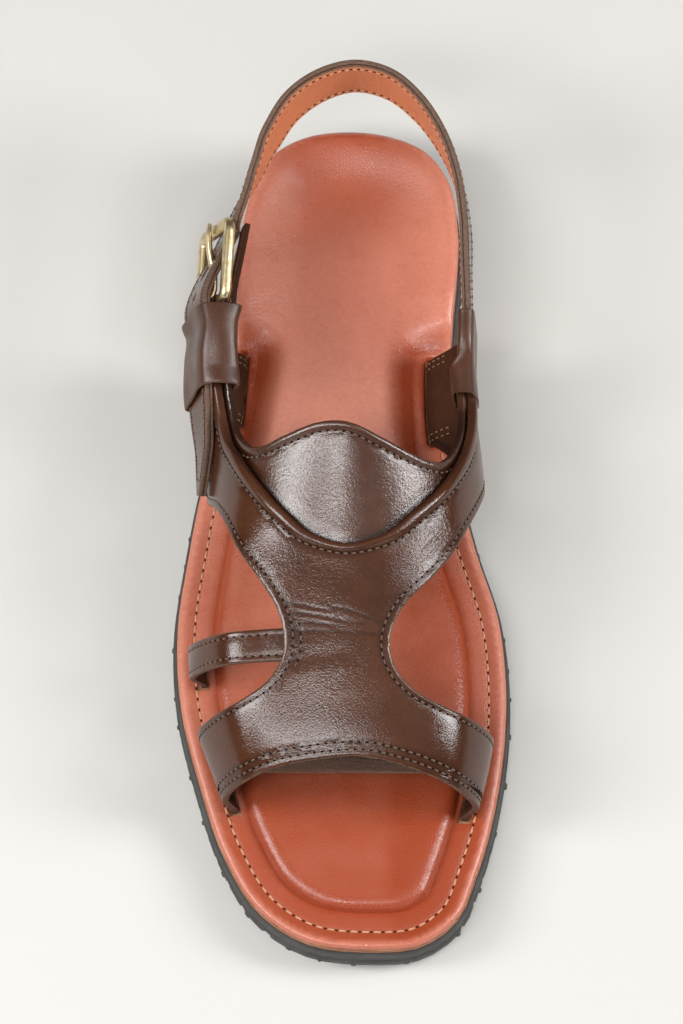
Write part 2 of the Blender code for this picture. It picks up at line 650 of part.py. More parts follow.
def make_keeper(name, side, y_range, path_at, leather):
    """A band folded over the strap, from the path of its inner face at each station."""
    verts, faces, count = [], [], 13
    for y in np.linspace(*y_range, count):
        section = band_section(np.array(path_at(y)), KEEPER_WALL * side)
        verts += [(x, y, z) for x, z in section]
    m = len(verts) // count
    for k in range(count - 1):
        a, b = k * m, (k + 1) * m
        faces += [[a + i, a + (i + 1) % m, b + (i + 1) % m, b + i] for i in range(m)]
    faces += [list(range(m))[::-1], list(range((count - 1) * m, count * m))]
    return add_object(name, verts, faces, leather)


def lateral_keeper_path(y):
    """Inside the panel, over its top edge, then down the outside of the strap and under it."""
    clear = HEEL_STRAP_WALL / 2 + GAP + 0.2
    inside = float(panel_depth(y)) + PANEL_WALL + GAP + 0.1
    arm = np.array(PANEL_TOP[-5:])
    edge = np.interp(y, arm[:, 1], arm[:, 0])
    low, middle, high = [last_surface(w, y)[0] - last_normal(w, y)[0] * inside
                         for w in (edge - 0.14, edge - 0.06, edge + 0.02)]
    ridge = strap_point(y, -1, 1.0, clear)
    top = max(strap_point(y, -1, 1.0, 0)[2], last_surface(edge, y)[0][2]) + 1.0
    across = high[0] - ridge[0]
    points = [low, middle, high, (high[0] - 0.1, y, top - 0.9), (high[0] - 0.2 * across, y, top),
              (high[0] - 0.5 * across, y, top + 0.4), (high[0] - 0.82 * across, y, top - 0.1), ridge,
              strap_point(y, -1, 0, clear), strap_point(y, -1, -1.02, clear), strap_point(y, -1, -1.1, 0.9),
              strap_point(y, -1, -1.11, -0.8)]
    return [(p[0], p[2]) for p in points]


def medial_keeper_path(y):
    """Round both layers of the arm in front, and round the heel strap's end behind."""
    blend = float(smooth((y - 42.4) / 4.2))
    half = HEEL_STRAP_WALL / 2 + GAP + 0.2
    inside = float(panel_depth(0)) + PANEL_WALL + GAP + 0.2
    outside = -GAP - 0.1
    arm = [last_surface(w, y)[0] - last_normal(w, y)[0] * d
           for w, d in ((0.68, inside), (0.54, inside), (0.56, outside), (0.62, outside), (0.68, outside))]
    strap = [strap_point(max(y, 48.2), 1, across, outward)
             for across, outward in ((-0.9, -half), (1.02, -half), (1.02, half), (0, half), (-0.96, half))]
    low_in, high_in, high_out, mid_out, low_out = [a * (1 - blend) + b * blend for a, b in zip(arm, strap)]
    top = max(high_in[2], high_out[2]) + 1.1 + 0.6 * float(smooth((y - 36) / 6))
    points = [low_in, high_in, ((high_in[0] * 0.85 + high_out[0] * 0.15), y, top),
              ((high_in[0] * 0.15 + high_out[0] * 0.85), y, top), high_out, mid_out, low_out]
    return [(p[0], p[2]) for p in points]


def make_buckle(brass, leather):
    along, up, out = buckle_axes()
    centre = np.array(BUCKLE_CENTRE)

    def at(u, v, n):
        return centre + along * u + up * v + out * n

    # Frame: the centre line runs round a rectangle with rounded corners; the base bar is the thin side
    r, reach, wide = BUCKLE_CORNER, BUCKLE_REACH, BUCKLE_HALF_WIDTH
    line = []
    for quarter, (cu, cv) in enumerate([(reach - r, wide - r), (r - reach, wide - r), (r - reach, r - wide),
                                        (reach - r, r - wide)]):
        for k in range(5):
            a = math.radians(90 * quarter + 22.5 * k)
            line.append((cu + r * math.cos(a), cv + r * math.sin(a)))
        if quarter == 1:
            line += [(-reach, wide - r - 1.5), (-reach, r + 1.5 - wide)]
    line = np.array(line)
    ahead = np.roll(line, -1, axis=0) - np.roll(line, 1, axis=0)
    outward = unit(np.column_stack([ahead[:, 1], -ahead[:, 0]]))
    frames = [(at(u, v, 0), along * a + up * b, out) for (u, v), (a, b) in zip(line, outward)]
    thick = rounded_bar(*BUCKLE_BAR)
    thin = rounded_bar(BASE_BAR, BASE_BAR)
    sections = [thin if u < -reach + 0.01 and abs(v) < wide - r - 1 else thick for u, v in line]
    sweep("buckle_frame", frames, sections, brass, closed=True)

    # Prong: an eye round the base bar, then a shank through the strap on to the heel-side bar
    width, depth = PRONG
    eye = BASE_BAR / 2 + 0.35 + depth / 2
    path = [(-reach + eye * math.cos(math.radians(a)), eye * math.sin(math.radians(a)))
            for a in range(300, -31, -30)]
    tip_n = BUCKLE_BAR[1] / 2 + 0.35 + depth / 2
    path = path[:-2] + [(-reach + 4.4, 0.1), (-4.5, -0.1), (1.0, 1.1), (7.0, 2.5), (reach - 2.2, tip_n),
                        (reach + 1.8, tip_n)]
    path = np.array(path)
    ahead = unit(np.gradient(path, axis=0))
    frames = [(at(u, 0, n), up, along * -dn + out * du) for (u, n), (du, dn) in zip(path, ahead)]
    sweep("buckle_prong", frames, rounded_bar(width, depth, 1), brass)

    # Chape: a strip folded round the base bar, its two legs held together by the arm
    inner = BASE_BAR / 2 + 0.35
    outer = inner + CHAPE_WALL
    turn = [math.radians(a) for a in range(100, -101, -25)]
    legs = [(-reach - 7.8, 1.0), (-reach - 3.0, 1.2)]
    gap_edge = [(-reach - 7.8, 0.15), (-reach - 2.6, 0.2)]
    section = [*legs, *[(-reach + outer * math.cos(a), outer * math.sin(a)) for a in turn],
               *[(u, -n) for u, n in legs[::-1]], *[(u, -n) for u, n in gap_edge],
               *[(-reach + inner * math.cos(a), inner * math.sin(a)) for a in turn[::-1]], *gap_edge[::-1]]
    frames = [(at(0, v, 0), along, out) for v in (-CHAPE_WIDTH / 2, CHAPE_WIDTH / 2)]
    chape = sweep("buckle_chape", frames, section, leather)
    slot_frames = [(at(-reach + 0.4, v, 0), along, out) for v in (-2.1, 2.1)]
    cut(chape, sweep("prong_slot_cutter", slot_frames, rounded_bar(9.0, 9.0, 1, 0.5), brass))


def main():
    for obj in list(bpy.data.objects):
        bpy.data.objects.remove(obj)
    rubber = material("rubber", (0.03, 0.03, 0.03), 0.75)
    tan = material("tan_leather", (0.55, 0.2, 0.1), 0.5)
    brown = material("brown_leather", (0.13, 0.07, 0.05), 0.35)
    brass = material("brass", (0.6, 0.45, 0.2), 0.35, 1.0)

    outline = spline(OUTSOLE_OUTLINE, 6.0, closed=True)
    make_outsole(outline, rubber)
    slab("midsole", [(offset(outline, -MIDSOLE_INSET), lambda x, y: sole_line(y) + GAP),
                     (offset(outline, -MIDSOLE_INSET), lambda x, y: midsole_top(y))], 10.0, tan)
    footbed = make_footbed(offset(outline, -FOOTBED_INSET), tan)
    for name, column, low, high, reach in STRAP_SLOTS:
        cut(footbed, make_slot_cutter(name, column, low, high, reach, tan))
    make_vamp(brown)
    make_instep_panel(brown)
    make_heel_strap(brown)
    make_keeper("keeper_lateral", -1, KEEPER_LATERAL_Y, lateral_keeper_path, brown)
    make_keeper("keeper_medial", 1, KEEPER_MEDIAL_Y, medial_keeper_path, brown)
    make_buckle(brass, brown)


main()
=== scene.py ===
"""Looks of a Peshawari chappal (right shoe): fine leather, stitching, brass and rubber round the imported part.

Tables and sizes are in millimetres, as in the part: toe to -Y, outer side to -X, ground at Z = 0.
A side is 1 towards the inner (medial) edge of the foot and -1 towards the outer (lateral) one.
"""

import math
import random
from types import SimpleNamespace

import bmesh
import bpy
import numpy as np
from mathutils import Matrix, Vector
from mathutils.geometry import delaunay_2d_cdt
from mathutils.kdtree import KDTree

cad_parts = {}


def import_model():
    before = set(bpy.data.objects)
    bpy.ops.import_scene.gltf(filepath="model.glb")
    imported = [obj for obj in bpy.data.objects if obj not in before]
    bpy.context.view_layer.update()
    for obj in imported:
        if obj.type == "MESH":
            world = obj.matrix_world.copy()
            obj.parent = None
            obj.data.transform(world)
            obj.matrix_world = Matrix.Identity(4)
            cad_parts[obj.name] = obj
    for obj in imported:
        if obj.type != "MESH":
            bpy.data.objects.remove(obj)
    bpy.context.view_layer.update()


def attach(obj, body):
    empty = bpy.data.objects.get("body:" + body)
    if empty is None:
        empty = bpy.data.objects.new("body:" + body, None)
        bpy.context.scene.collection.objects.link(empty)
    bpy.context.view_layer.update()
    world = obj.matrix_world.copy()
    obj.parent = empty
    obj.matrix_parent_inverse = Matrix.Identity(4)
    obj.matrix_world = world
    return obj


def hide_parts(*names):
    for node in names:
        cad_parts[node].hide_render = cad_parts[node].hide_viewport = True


MM = 0.001
GAP = 0.3  # between pieces that lie on each other

# Sole
FOREFOOT_RUBBER, HEEL_RUBBER = 9.5, 16.0
TOE_SPRING, SPRING_START_Y, TOE_Y = 5.0, -95.0, -145.0
MIDSOLE_THICK = 2.5
FOOTBED_INSET = 1.8
RIM_THICK, RIM_WIDTH = 2.2, 12.5
RIM_BY_NOTCH = 8.5  # beside the lateral notch
RIM_SEAM = 5.6  # in from the edge
PAD_RISE, PAD_SHOULDER = 3.6, 5.0
HEEL_CUP_RISE = 5.0
NOTCH_Y = {1: (30.5, 60.8), -1: (36.5, 63.2)}
FOOT = {1: "foot_m", -1: "foot_l"}
# Slots beside the pad as (side, from y, to y, reach inwards); worn patches as (x, y, reach, how worn)
STRAP_SLOTS = ((-1, -96.6, -73.8, 3.3), (1, -99.2, -75.8, 3.3), (-1, -53.2, -40.3, 4.0))
TOE_PATCHES = ((-17, -113, 11, 0.4), (30, -108, 9, 0.45), (8, -118, 12, 0.25), (-8, -98, 8, 0.15))

# Leather and thread
VAMP_WALL, PANEL_WALL, SMALL_STRAP_WALL = 2.4, 2.2, 2.0
HEEL_STRAP_WALL, LINING_WALL, KEEPER_WALL = 2.8, 1.1, 1.0
GUARD_DRAW = 1.4
EDGE_RADIUS = 0.55
EDGE_RINGS = (0.3, 0.85, 1.5, 2.2, 3.0)  # distances from the cut edge that the mesh follows
SEAM_IN, DOUBLE_SEAM = 2.2, 2.3
STRAP_SEAM_IN = 2.1
STITCH_PITCH, STITCH_LENGTH, THREAD_RADIUS, PINHOLE = 2.6, 1.65, 0.27, 0.46
STITCH = ((-0.5, 0.35, -0.6), (-0.36, 0.9, 0.2), (-0.12, 1.0, 0.55), (0.12, 1.0, 0.55), (0.36, 0.9, 0.2),
          (0.5, 0.35, -0.6))  # along, thickness, lift

OUTSOLE_OUTLINE = [
    (2, 145), (-12, 142.8), (-24, 135.5), (-32, 121), (-35.8, 104), (-37, 84), (-38, 64), (-41.5, 42),
    (-47.6, 20), (-52.6, -6), (-56.1, -34), (-54.6, -60), (-48, -87), (-39.5, -112), (-27.5, -131.5),
    (-12, -142), (8, -145), (27, -142.8), (38.5, -134), (45.5, -118), (52.5, -92), (56.1, -56), (53.8, -29),
    (46, -3), (40, 24), (38.2, 48), (39.6, 76), (41.4, 104), (38, 124.5), (29, 137), (16, 143.2)]

SECTION_Y = (-104, -90, -70, -45, -20, 0, 20, 40, 62, 96)
SECTIONS = {
    "foot_l": (-33.5, -38, -44.5, -48, -46, -43, -39.5, -36.2, -34.6, -32),
    "side_l": (-36, -41, -48, -51.5, -48, -45.5, -45, -46.5, -45, -38),
    "side_m": (43, 47, 50.5, 50.5, 49, 48, 45.8, 43.4, 42.5, 42),
    "foot_m": (40, 43.5, 47, 48, 45, 40, 34.5, 31.6, 31.5, 31),
    "side_l_z": (25, 26, 27, 28, 28, 26, 26, 32, 39, 46),
    "side_m_z": (25, 26, 27, 28, 30, 32, 34, 38, 42, 46),
    "crest_x": (4, 4, 3, 2, 1, 1, 1, 1, 1, 1),
    "crest_z": (46, 53, 59, 65, 71, 78, 86, 93, 100, 108),
    "fullness": (0.78, 0.77, 0.76, 0.74, 0.71, 0.68, 0.66, 0.64, 0.64, 0.66),
}
SECTION_KNOTS = (-1.0, -0.9, -0.7, -0.36, 0.0, 0.36, 0.7, 0.9, 1.0)
SHOULDER_REACH = 0.74
PATTERN_WIDTH, PATTERN_STEP = 75.0, 1.3

# Outlines on the last, as (position round the section, y)
VAMP_TOP = [(0.585, 42.6), (0.58, 34), (0.55, 27.4), (0.515, 21.3), (0.47, 14.7), (0.409, 7.5), (0.338, 0.3),
            (0.215, -11.1), (0.11, -19.8), (0, -22.7), (-0.1, -19.3), (-0.182, -11.8), (-0.301, 1.4),
            (-0.383, 11), (-0.436, 17.5), (-0.462, 24.5), (-0.472, 31), (-0.48, 38), (-0.5, 47), (-0.525, 56)]
VAMP = {
    "front": [(-1, -96.5), (-0.68, -96), (-0.42, -94.4), (-0.15, -90.3), (0.05, -89.4), (0.18, -92),
              (0.31, -95), (0.49, -97.6), (0.75, -98.6), (1, -99)],
    "medial": [(1, -76), (0.7, -75.5), (0.44, -74.6), (0.28, -71.9), (0.2, -68.5), (0.15, -63.7),
               (0.122, -56.5), (0.13, -49), (0.173, -41), (0.26, -31.9), (0.378, -19.7), (0.47, -9),
               (0.58, 2.2), (0.72, 14), (0.8, 21.5), (0.85, 27), (0.91, 30.5), (1, 31.3)],
    "medial_root": [(1, 59), (0.88, 59.6), (0.75, 60)],
    "step": [(0.725, 58), (0.72, 43.6)],
    "top": VAMP_TOP,
    "lateral_root": [(-0.66, 57), (-0.7, 60), (-0.85, 61.5), (-1, 62)],
    "lateral": [(-1, 38), (-0.96, 37.6), (-0.9, 36.6), (-0.86, 31.5), (-0.83, 24), (-0.76, 14.5),
                (-0.66, 6.5), (-0.54, 0), (-0.43, -9.5), (-0.37, -17), (-0.31, -24.3), (-0.24, -33.5),
                (-0.195, -42), (-0.178, -50), (-0.187, -58), (-0.235, -65), (-0.32, -69.6), (-0.45, -72),
                (-0.7, -73), (-1, -74)],
}
PANEL_TOP = [(0.568, 42.4), (0.562, 34), (0.54, 27.6), (0.5, 20.8), (0.45, 14.6), (0.4, 9.9), (0.335, 6.8),
             (0.266, 6.5), (0.2, 7.9), (0.127, 10.3), (0.03, 13.6), (-0.09, 14.6), (-0.205, 12.7),
             (-0.29, 11.4), (-0.345, 12.7), (-0.4, 16.4), (-0.44, 21.4), (-0.458, 28), (-0.464, 38),
             (-0.482, 50), (-0.5, 66), (-0.505, 82)]
PANEL_TIP = (-0.52, 92)
PANEL_UNDER = [(-0.62, 82), (-0.64, 66), (-0.62, 48), (-0.56, 32), (-0.46, 14), (-0.3, -9), (-0.12, -29),
               (0, -33), (0.12, -30), (0.3, -12), (0.47, 6), (0.6, 22), (0.66, 34), (0.67, 42.4)]
SMALL_STRAP_REAR = [(-1, -40.5), (-0.75, -43), (-0.45, -47), (-0.14, -48.5)]
SMALL_STRAP_FRONT = [(-0.14, -59), (-0.45, -57.5), (-0.75, -54.5), (-1, -53)]

VAMP_CREASES = [  # start, end (pattern millimetres), bow, width, depth; the first seven wrinkle the waist
    ((-15.4, -39.2), (-2.0, -44.2), -0.4, 0.62, 0.051), ((-6.4, -41.6), (9.0, -48.6), 0.8, 0.6, 0.048),
    ((-15.6, -41.8), (3.5, -48.2), -0.3, 0.6, 0.048), ((-14.2, -45.0), (-1.5, -48.6), -0.3, 0.6, 0.039),
    ((4.8, -44.2), (12.8, -47.2), -0.3, 0.6, 0.039), ((-13.5, -48.8), (-4.5, -50.4), -0.3, 0.6, 0.03),
    ((-2.6, -50.6), (8.0, -51.6), 0.3, 0.65, 0.027), ((-15.0, -60.0), (2.0, -57.0), 0.6, 2.4, 0.086),
    ((-28, -17.5), (-19, -27.5), 0.6, 0.7, 0.092), ((-22, -23.0), (-15, -33.0), 0.5, 0.6, 0.092),
    ((18, -24.5), (25, -14.0), -0.7, 0.7, 0.132), ((22, -24.0), (31, -11.5), -0.7, 0.7, 0.119),
    ((14, -30.0), (22, -27.5), -0.5, 0.6, 0.106)]

# Heel strap and buckle
STRAP_HALF_WIDTH = 10.0
STRAP_ROWS = [  # x, y, z, lean
    (41.4, 48.4, 50.7, 4), (41.7, 60, 53.6, 4), (41.4, 77, 59.6, 5), (40.8, 93, 65.5, 7),
    (38, 107, 70.5, 6), (33, 118.5, 73.5, 3), (25.5, 129, 76, 1), (16, 136.6, 77.8, 0), (5, 139.4, 78.3, 0),
    (-6.5, 136.6, 77.5, -2), (-16.6, 129.8, 75, -4), (-23.2, 120.5, 71.5, -4), (-28, 110.5, 67.5, 2),
    (-32.4, 101, 63.4, 11)]
STRAP_AT_BUCKLE = ((13, -4.8), (6.5, -2.2), (0, 0.8), (-6.5, 3.6), (-13, 5.2))  # along it, out of its plane
STRAP_TAIL = ((-0.555, 57, 10), (-0.553, 49, 10), (-0.555, 40, 10), (-0.565, 31, 9.6), (-0.585, 22.5, 8.4),
              (-0.61, 15, 6), (-0.635, 8, 2.4))  # position round the last, y, half width
TAIL_LEAN = 3.0  # the tail leans this many degrees more than the leather under it
BUCKLE_CENTRE = np.array((-42.1, 79.5, 56.0))
BUCKLE_SLOPE, BUCKLE_LEAN = 9.0, 20.0
BUCKLE_REACH, BUCKLE_HALF_WIDTH, BUCKLE_CORNER = 13.0, 13.5, 3.4
BUCKLE_BAR = (4.2, 3.4)
BASE_BAR = 2.4
PRONG = (3.0, 1.8)
CHAPE_WALL, CHAPE_WIDTH = 1.1, 14.4
HOLE_PITCH = 10.5
KEEPER_Y = {-1: (36.5, 62.5), 1: (36.0, 60.5)}
KEEPER_CLEAR = HEEL_STRAP_WALL / 2 + GAP + 0.2


# ---- curves and plan shapes

def smooth(t):
    t = np.clip(t, 0, 1)
    return t * t * (3 - 2 * t)


def bell(t):
    return np.exp(-np.square(t))


def unit(v):
    v = np.asarray(v, float)
    return v / np.linalg.norm(v, axis=-1, keepdims=True)


def left_of(ahead):
    """Unit vectors a quarter turn to the left of plane vectors."""
    return unit(np.stack([-ahead[..., 1], ahead[..., 0]], axis=-1))


def arc(x, y, radius, start, stop, steps):
    """Points of an arc in the plane, from one angle in degrees to another."""
    a = np.radians(np.linspace(start, stop, steps + 1))
    return list(zip(x + radius * np.cos(a), y + radius * np.sin(a)))


def circle(count, turn=0):
    """Points of the unit circle, the first of them `turn` degrees round."""
    return arc(0, 0, 1, turn, turn + 360, count)[:-1]


def hermite(knots, values, at):
    """Smooth curve through values at the knots, read at some places; values may have a row for each."""
    knots, values, at = np.asarray(knots, float), np.asarray(values, float), np.asarray(at, float)
    step = np.diff(knots)
    slope = np.diff(values) / step
    inner = (slope[..., :-1] * step[1:] + slope[..., 1:] * step[:-1]) / (step[1:] + step[:-1])
    tangent = np.concatenate([slope[..., :1], inner, slope[..., -1:]], axis=-1)
    i = np.clip(np.searchsorted(knots, at) - 1, 0, len(knots) - 2)
    t = (at - knots[i]) / step[i]
    row = (np.arange(len(at)),) if values.ndim > 1 else ()
    here, there = (*row, i), (*row, i + 1)
    return ((2 * t**3 - 3 * t**2 + 1) * values[here] + (t**3 - 2 * t**2 + t) * step[i] * tangent[here]
            + (3 * t**2 - 2 * t**3) * values[there] + (t**3 - t**2) * step[i] * tangent[there])


def run_length(line):
    """Distance along a polyline at each of its points."""
    return np.concatenate([[0], np.cumsum(np.linalg.norm(np.diff(line, axis=0), axis=1))])


def spline(points, spacing, closed=False):
    """Points about `spacing` apart on a smooth curve through the given ones."""
    p = np.asarray(points, float)
    if closed:
        p = np.vstack([p[-3:], p, p[:4]])
    knots = run_length(p)
    start, end = (knots[3], knots[-4]) if closed else (knots[0], knots[-1])
    at = np.linspace(start, end, max(2, int(round((end - start) / spacing)) + 1))
    curve = np.column_stack([hermite(knots, column, at) for column in p.T])
    return curve[:-1] if closed else curve


def read(at, run, table):
    """Rows of a table between those it has at the places in `run`."""
    return np.stack([np.interp(at, run, column) for column in np.transpose(table)], axis=-1)


def resample(line, spacing):
    """A polyline with evenly spaced points."""
    run = run_length(line)
    return read(np.linspace(0, run[-1], max(2, int(round(run[-1] / spacing)) + 1)), run, line)


def closed_up(ring):
    return np.vstack([ring, ring[:1]])


def outwards(outline):
    """Unit normals of a closed plan outline, pointing out of it."""
    (x, y), (next_x, next_y) = outline.T, np.roll(outline, -1, axis=0).T
    left = left_of(np.roll(outline, -1, axis=0) - np.roll(outline, 1, axis=0))
    return left * (-1 if np.sum(x * next_y - y * next_x) > 0 else 1)


def offset(outline, distance):
    """A closed plan outline moved outwards by distance; inwards when negative."""
    return outline + outwards(outline) * distance


def search_tree(places):
    tree = KDTree(len(places))
    for k, p in enumerate(places):
        tree.insert((*p, 0.0)[:3], k)
    tree.balance()
    return tree


def nearest(points, places):
    """Distance of each point from the nearest of the places."""
    tree = search_tree(places)
    return np.array([tree.find((*p, 0.0)[:3])[2] for p in points])


def distance_to(points, line, closed=False):
    """Distance of each point from a polyline."""
    return nearest(points, resample(closed_up(line) if closed else line, 0.15))


def is_inside(points, outline):
    (ax, ay), (bx, by) = outline.T, np.roll(outline, -1, axis=0).T
    drop = np.where(np.abs(by - ay) < 1e-12, 1e-12, by - ay)
    found = []
    for part in np.array_split(points, max(1, len(points) // 2000)):
        x, y = part[:, :1], part[:, 1:]
        crosses = (ay > y) != (by > y)
        found.append(np.sum(crosses & (x < ax + (y - ay) / drop * (bx - ax)), axis=1) % 2 == 1)
    return np.concatenate(found)


def depth_inside(points, outline):
    """Distance of each plan point from a closed outline, positive inside it."""
    return distance_to(points, outline, closed=True) * np.where(is_inside(points, outline), 1, -1)


def runs_of(line, good):
    """The stretches of a line whose points are good, if they are longer than three points."""
    first, *others = np.split(line, np.where(~good)[0])
    return [run for run in (first, *(other[1:] for other in others)) if len(run) > 3]


def clipped(ring, plan, margin):
    """The stretches of a closed ring that lie inside a plan outline, away from it by the margin."""
    good = depth_inside(ring, plan) > margin
    if good.all():
        return [closed_up(ring)]
    turn = -int(np.argmin(good))
    return runs_of(np.roll(ring, turn, axis=0), np.roll(good, turn))


def fill(outline, spacing, lines=(), holes=()):
    """Triangles inside a closed plan outline: (points, faces, loops of the outline and the holes).

    `lines` are open polylines that the triangles' edges follow."""
    low, high = outline.min(axis=0), outline.max(axis=0)
    xs = np.arange(low[0] + spacing / 2, high[0], spacing)
    ys = np.arange(low[1] + spacing / 2, high[1], spacing * 0.87)
    grid = np.array([(x + (j % 2) * spacing / 2, y) for j, y in enumerate(ys) for x in xs]).reshape(-1, 2)
    grid = grid[is_inside(grid, outline)]
    loops = [outline, *holes]
    fixed = [resample(line, spacing / 3) for line in (*map(closed_up, loops), *lines)]
    grid = grid[nearest(grid, np.vstack(fixed)) > spacing * 0.45]
    edges, starts, start = [], [], 0
    for line in (*loops, *lines):
        n = len(line)
        links = n if len(starts) < len(loops) else n - 1
        edges += [(start + k, start + (k + 1) % n) for k in range(links)]
        starts.append(start)
        start += n
    points = np.vstack([*loops, *lines, grid])
    made = delaunay_2d_cdt([tuple(p) for p in points], edges, [], 1, 1e-5)
    verts, faces = np.array([tuple(v) for v in made[0]]), np.array([tuple(f) for f in made[2]])
    for hole in holes:
        faces = faces[~is_inside(verts[faces].mean(axis=1), hole)]
    source = {original: k for k, group in enumerate(made[3]) for original in group}
    rims = [[source[start + k] for k in range(len(loop))] for start, loop in zip(starts, loops)]
    return verts, faces.tolist(), rims


# ---- the last

def spring(y):
    """How far the toe end of the sole is lifted off the ground."""
    return TOE_SPRING * np.clip((SPRING_START_Y - y) / (SPRING_START_Y - TOE_Y), 0, 1) ** 2


def midsole_top(y):
    y = np.asarray(y, float)
    rubber = FOREFOOT_RUBBER + (HEEL_RUBBER - FOREFOOT_RUBBER) * smooth((y + 20) / 80)
    return rubber + spring(y) + GAP + MIDSOLE_THICK


def last_surface(w, y):
    """Point of the upper's outer face at position w round the section at y."""
    w, y = np.atleast_1d(np.asarray(w, float)), np.atleast_1d(np.asarray(y, float))
    foot_l, side_l, side_m, foot_m, side_l_z, side_m_z, crest_x, crest_z, full = [
        hermite(SECTION_Y, column, y) for column in SECTIONS.values()]
    root_z = midsole_top(y) + GAP
    foot_z = root_z + RIM_THICK + 1.0
    x = [foot_l, foot_l, side_l, crest_x + SHOULDER_REACH * (side_l - crest_x), crest_x,
         crest_x + SHOULDER_REACH * (side_m - crest_x), side_m, foot_m, foot_m]
    z = [root_z, foot_z, side_l_z, side_l_z + full * (crest_z - side_l_z), crest_z,
         side_m_z + full * (crest_z - side_m_z), side_m_z, foot_z, root_z]
    x, z = [hermite(SECTION_KNOTS, np.column_stack(rows), w) for rows in (x, z)]
    return np.column_stack([x, y, z])


def last_normal(w, y):
    dw, dy = 0.01, 0.5
    across = last_surface(np.minimum(w + dw, 1), y) - last_surface(np.maximum(w - dw, -1), y)
    return unit(np.cross(across, last_surface(w, y + dy) - last_surface(w, y - dy)))


def under_last(w, y, sunk):
    """One point, `sunk` below the last's surface."""
    return last_surface(w, y)[0] - last_normal(w, y)[0] * sunk


def foot_x(side, y):
    return float(hermite(SECTION_Y, SECTIONS[FOOT[side]], y))


# ---- meshes

def finish_piece(obj, slot, *nodes):
    """Every piece rides on the one body; some stand for CAD nodes."""
    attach(obj, "root")
    if nodes:
        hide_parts(*nodes)


def link(name, data):
    obj = bpy.data.objects.new(name, data)
    bpy.context.scene.collection.objects.link(obj)
    return obj


def shade(mesh):
    mesh.shade_smooth()
    mesh.set_sharp_from_angle(angle=math.radians(50))


def add_object(name, verts, faces, materials, indices=None):
    """A mesh object from points in millimetres, its faces turned outwards."""
    mesh = bpy.data.meshes.new(name)
    mesh.from_pydata([tuple(v) for v in np.asarray(verts, float) * MM], [], faces)
    for material in materials:
        mesh.materials.append(material)
    if indices is not None:
        mesh.polygons.foreach_set("material_index", np.asarray(indices, np.int32))
    bm = bmesh.new()
    bm.from_mesh(mesh)
    bmesh.ops.recalc_face_normals(bm, faces=bm.faces)
    bm.to_mesh(mesh)
    bm.free()
    shade(mesh)
    return link(name, mesh)


def paint(obj, **attributes):
    """Values at a sheet's points for its material to read, the same on both of its faces."""
    for name, values in attributes.items():
        layer = obj.data.attributes.new(name, "FLOAT", "POINT")
        layer.data.foreach_set("value", np.tile(values, 2).astype(np.float32))


def modify(obj, kind, **settings):
    """Applies one modifier to the object's mesh."""
    modifier = obj.modifiers.new(kind.lower(), kind)
    for key, value in settings.items():
        setattr(modifier, key, value)
    bpy.context.view_layer.update()
    shaped = bpy.data.meshes.new_from_object(obj.evaluated_get(bpy.context.evaluated_depsgraph_get()))
    obj.modifiers.clear()
    obj.data = shaped


def bevel(obj, width, segments, angle):
    modify(obj, "BEVEL", width=width * MM, segments=segments, limit_method="ANGLE",
           angle_limit=math.radians(angle))
    shade(obj.data)


def tube(start, rings, count, closed=False):
    """Faces of a tube: rings of `count` vertices numbered from `start`, with end caps unless closed."""
    faces = []
    for k in range(rings if closed else rings - 1):
        a, b = start + k * count, start + (k + 1) % rings * count
        faces += [[a + i, a + (i + 1) % count, b + (i + 1) % count, b + i] for i in range(count)]
    if not closed:
        last = start + (rings - 1) * count
        faces += [list(range(start, start + count))[::-1], list(range(last, last + count))]
    return faces


def two_sided(triangles, n, rims):
    """Faces of a sheet: triangles on top, the same n points later below, and walls along the rims."""
    faces = [*triangles, *([n + i for i in face[::-1]] for face in triangles)]
    for rim in rims:
        faces += [[a, b, n + b, n + a] for a, b in zip(rim, rim[1:] + rim[:1])]
    return faces


def sweep(name, frames, sections, materials, closed=False):
    """Sections of (across, outwards) points carried along frames of (centre, across axis, outward axis)."""
    verts = [centre + a * across + b * outward
             for (centre, across, outward), section in zip(frames, sections) for a, b in section]
    return add_object(name, verts, tube(0, len(frames), len(sections[0]), closed), materials)


def rounded_bar(width, height, corner_steps, radius=None):
    """Section of a bar with rounded corners, as (across, outwards) points."""
    r = min(width, height) * 0.42 if radius is None else radius
    x, y = width / 2 - r, height / 2 - r
    return [point for k, (sx, sy) in enumerate(((1, 1), (-1, 1), (-1, -1), (1, -1)))
            for point in arc(sx * x, sy * y, r, 90 * k, 90 * k + 90, corner_steps)]


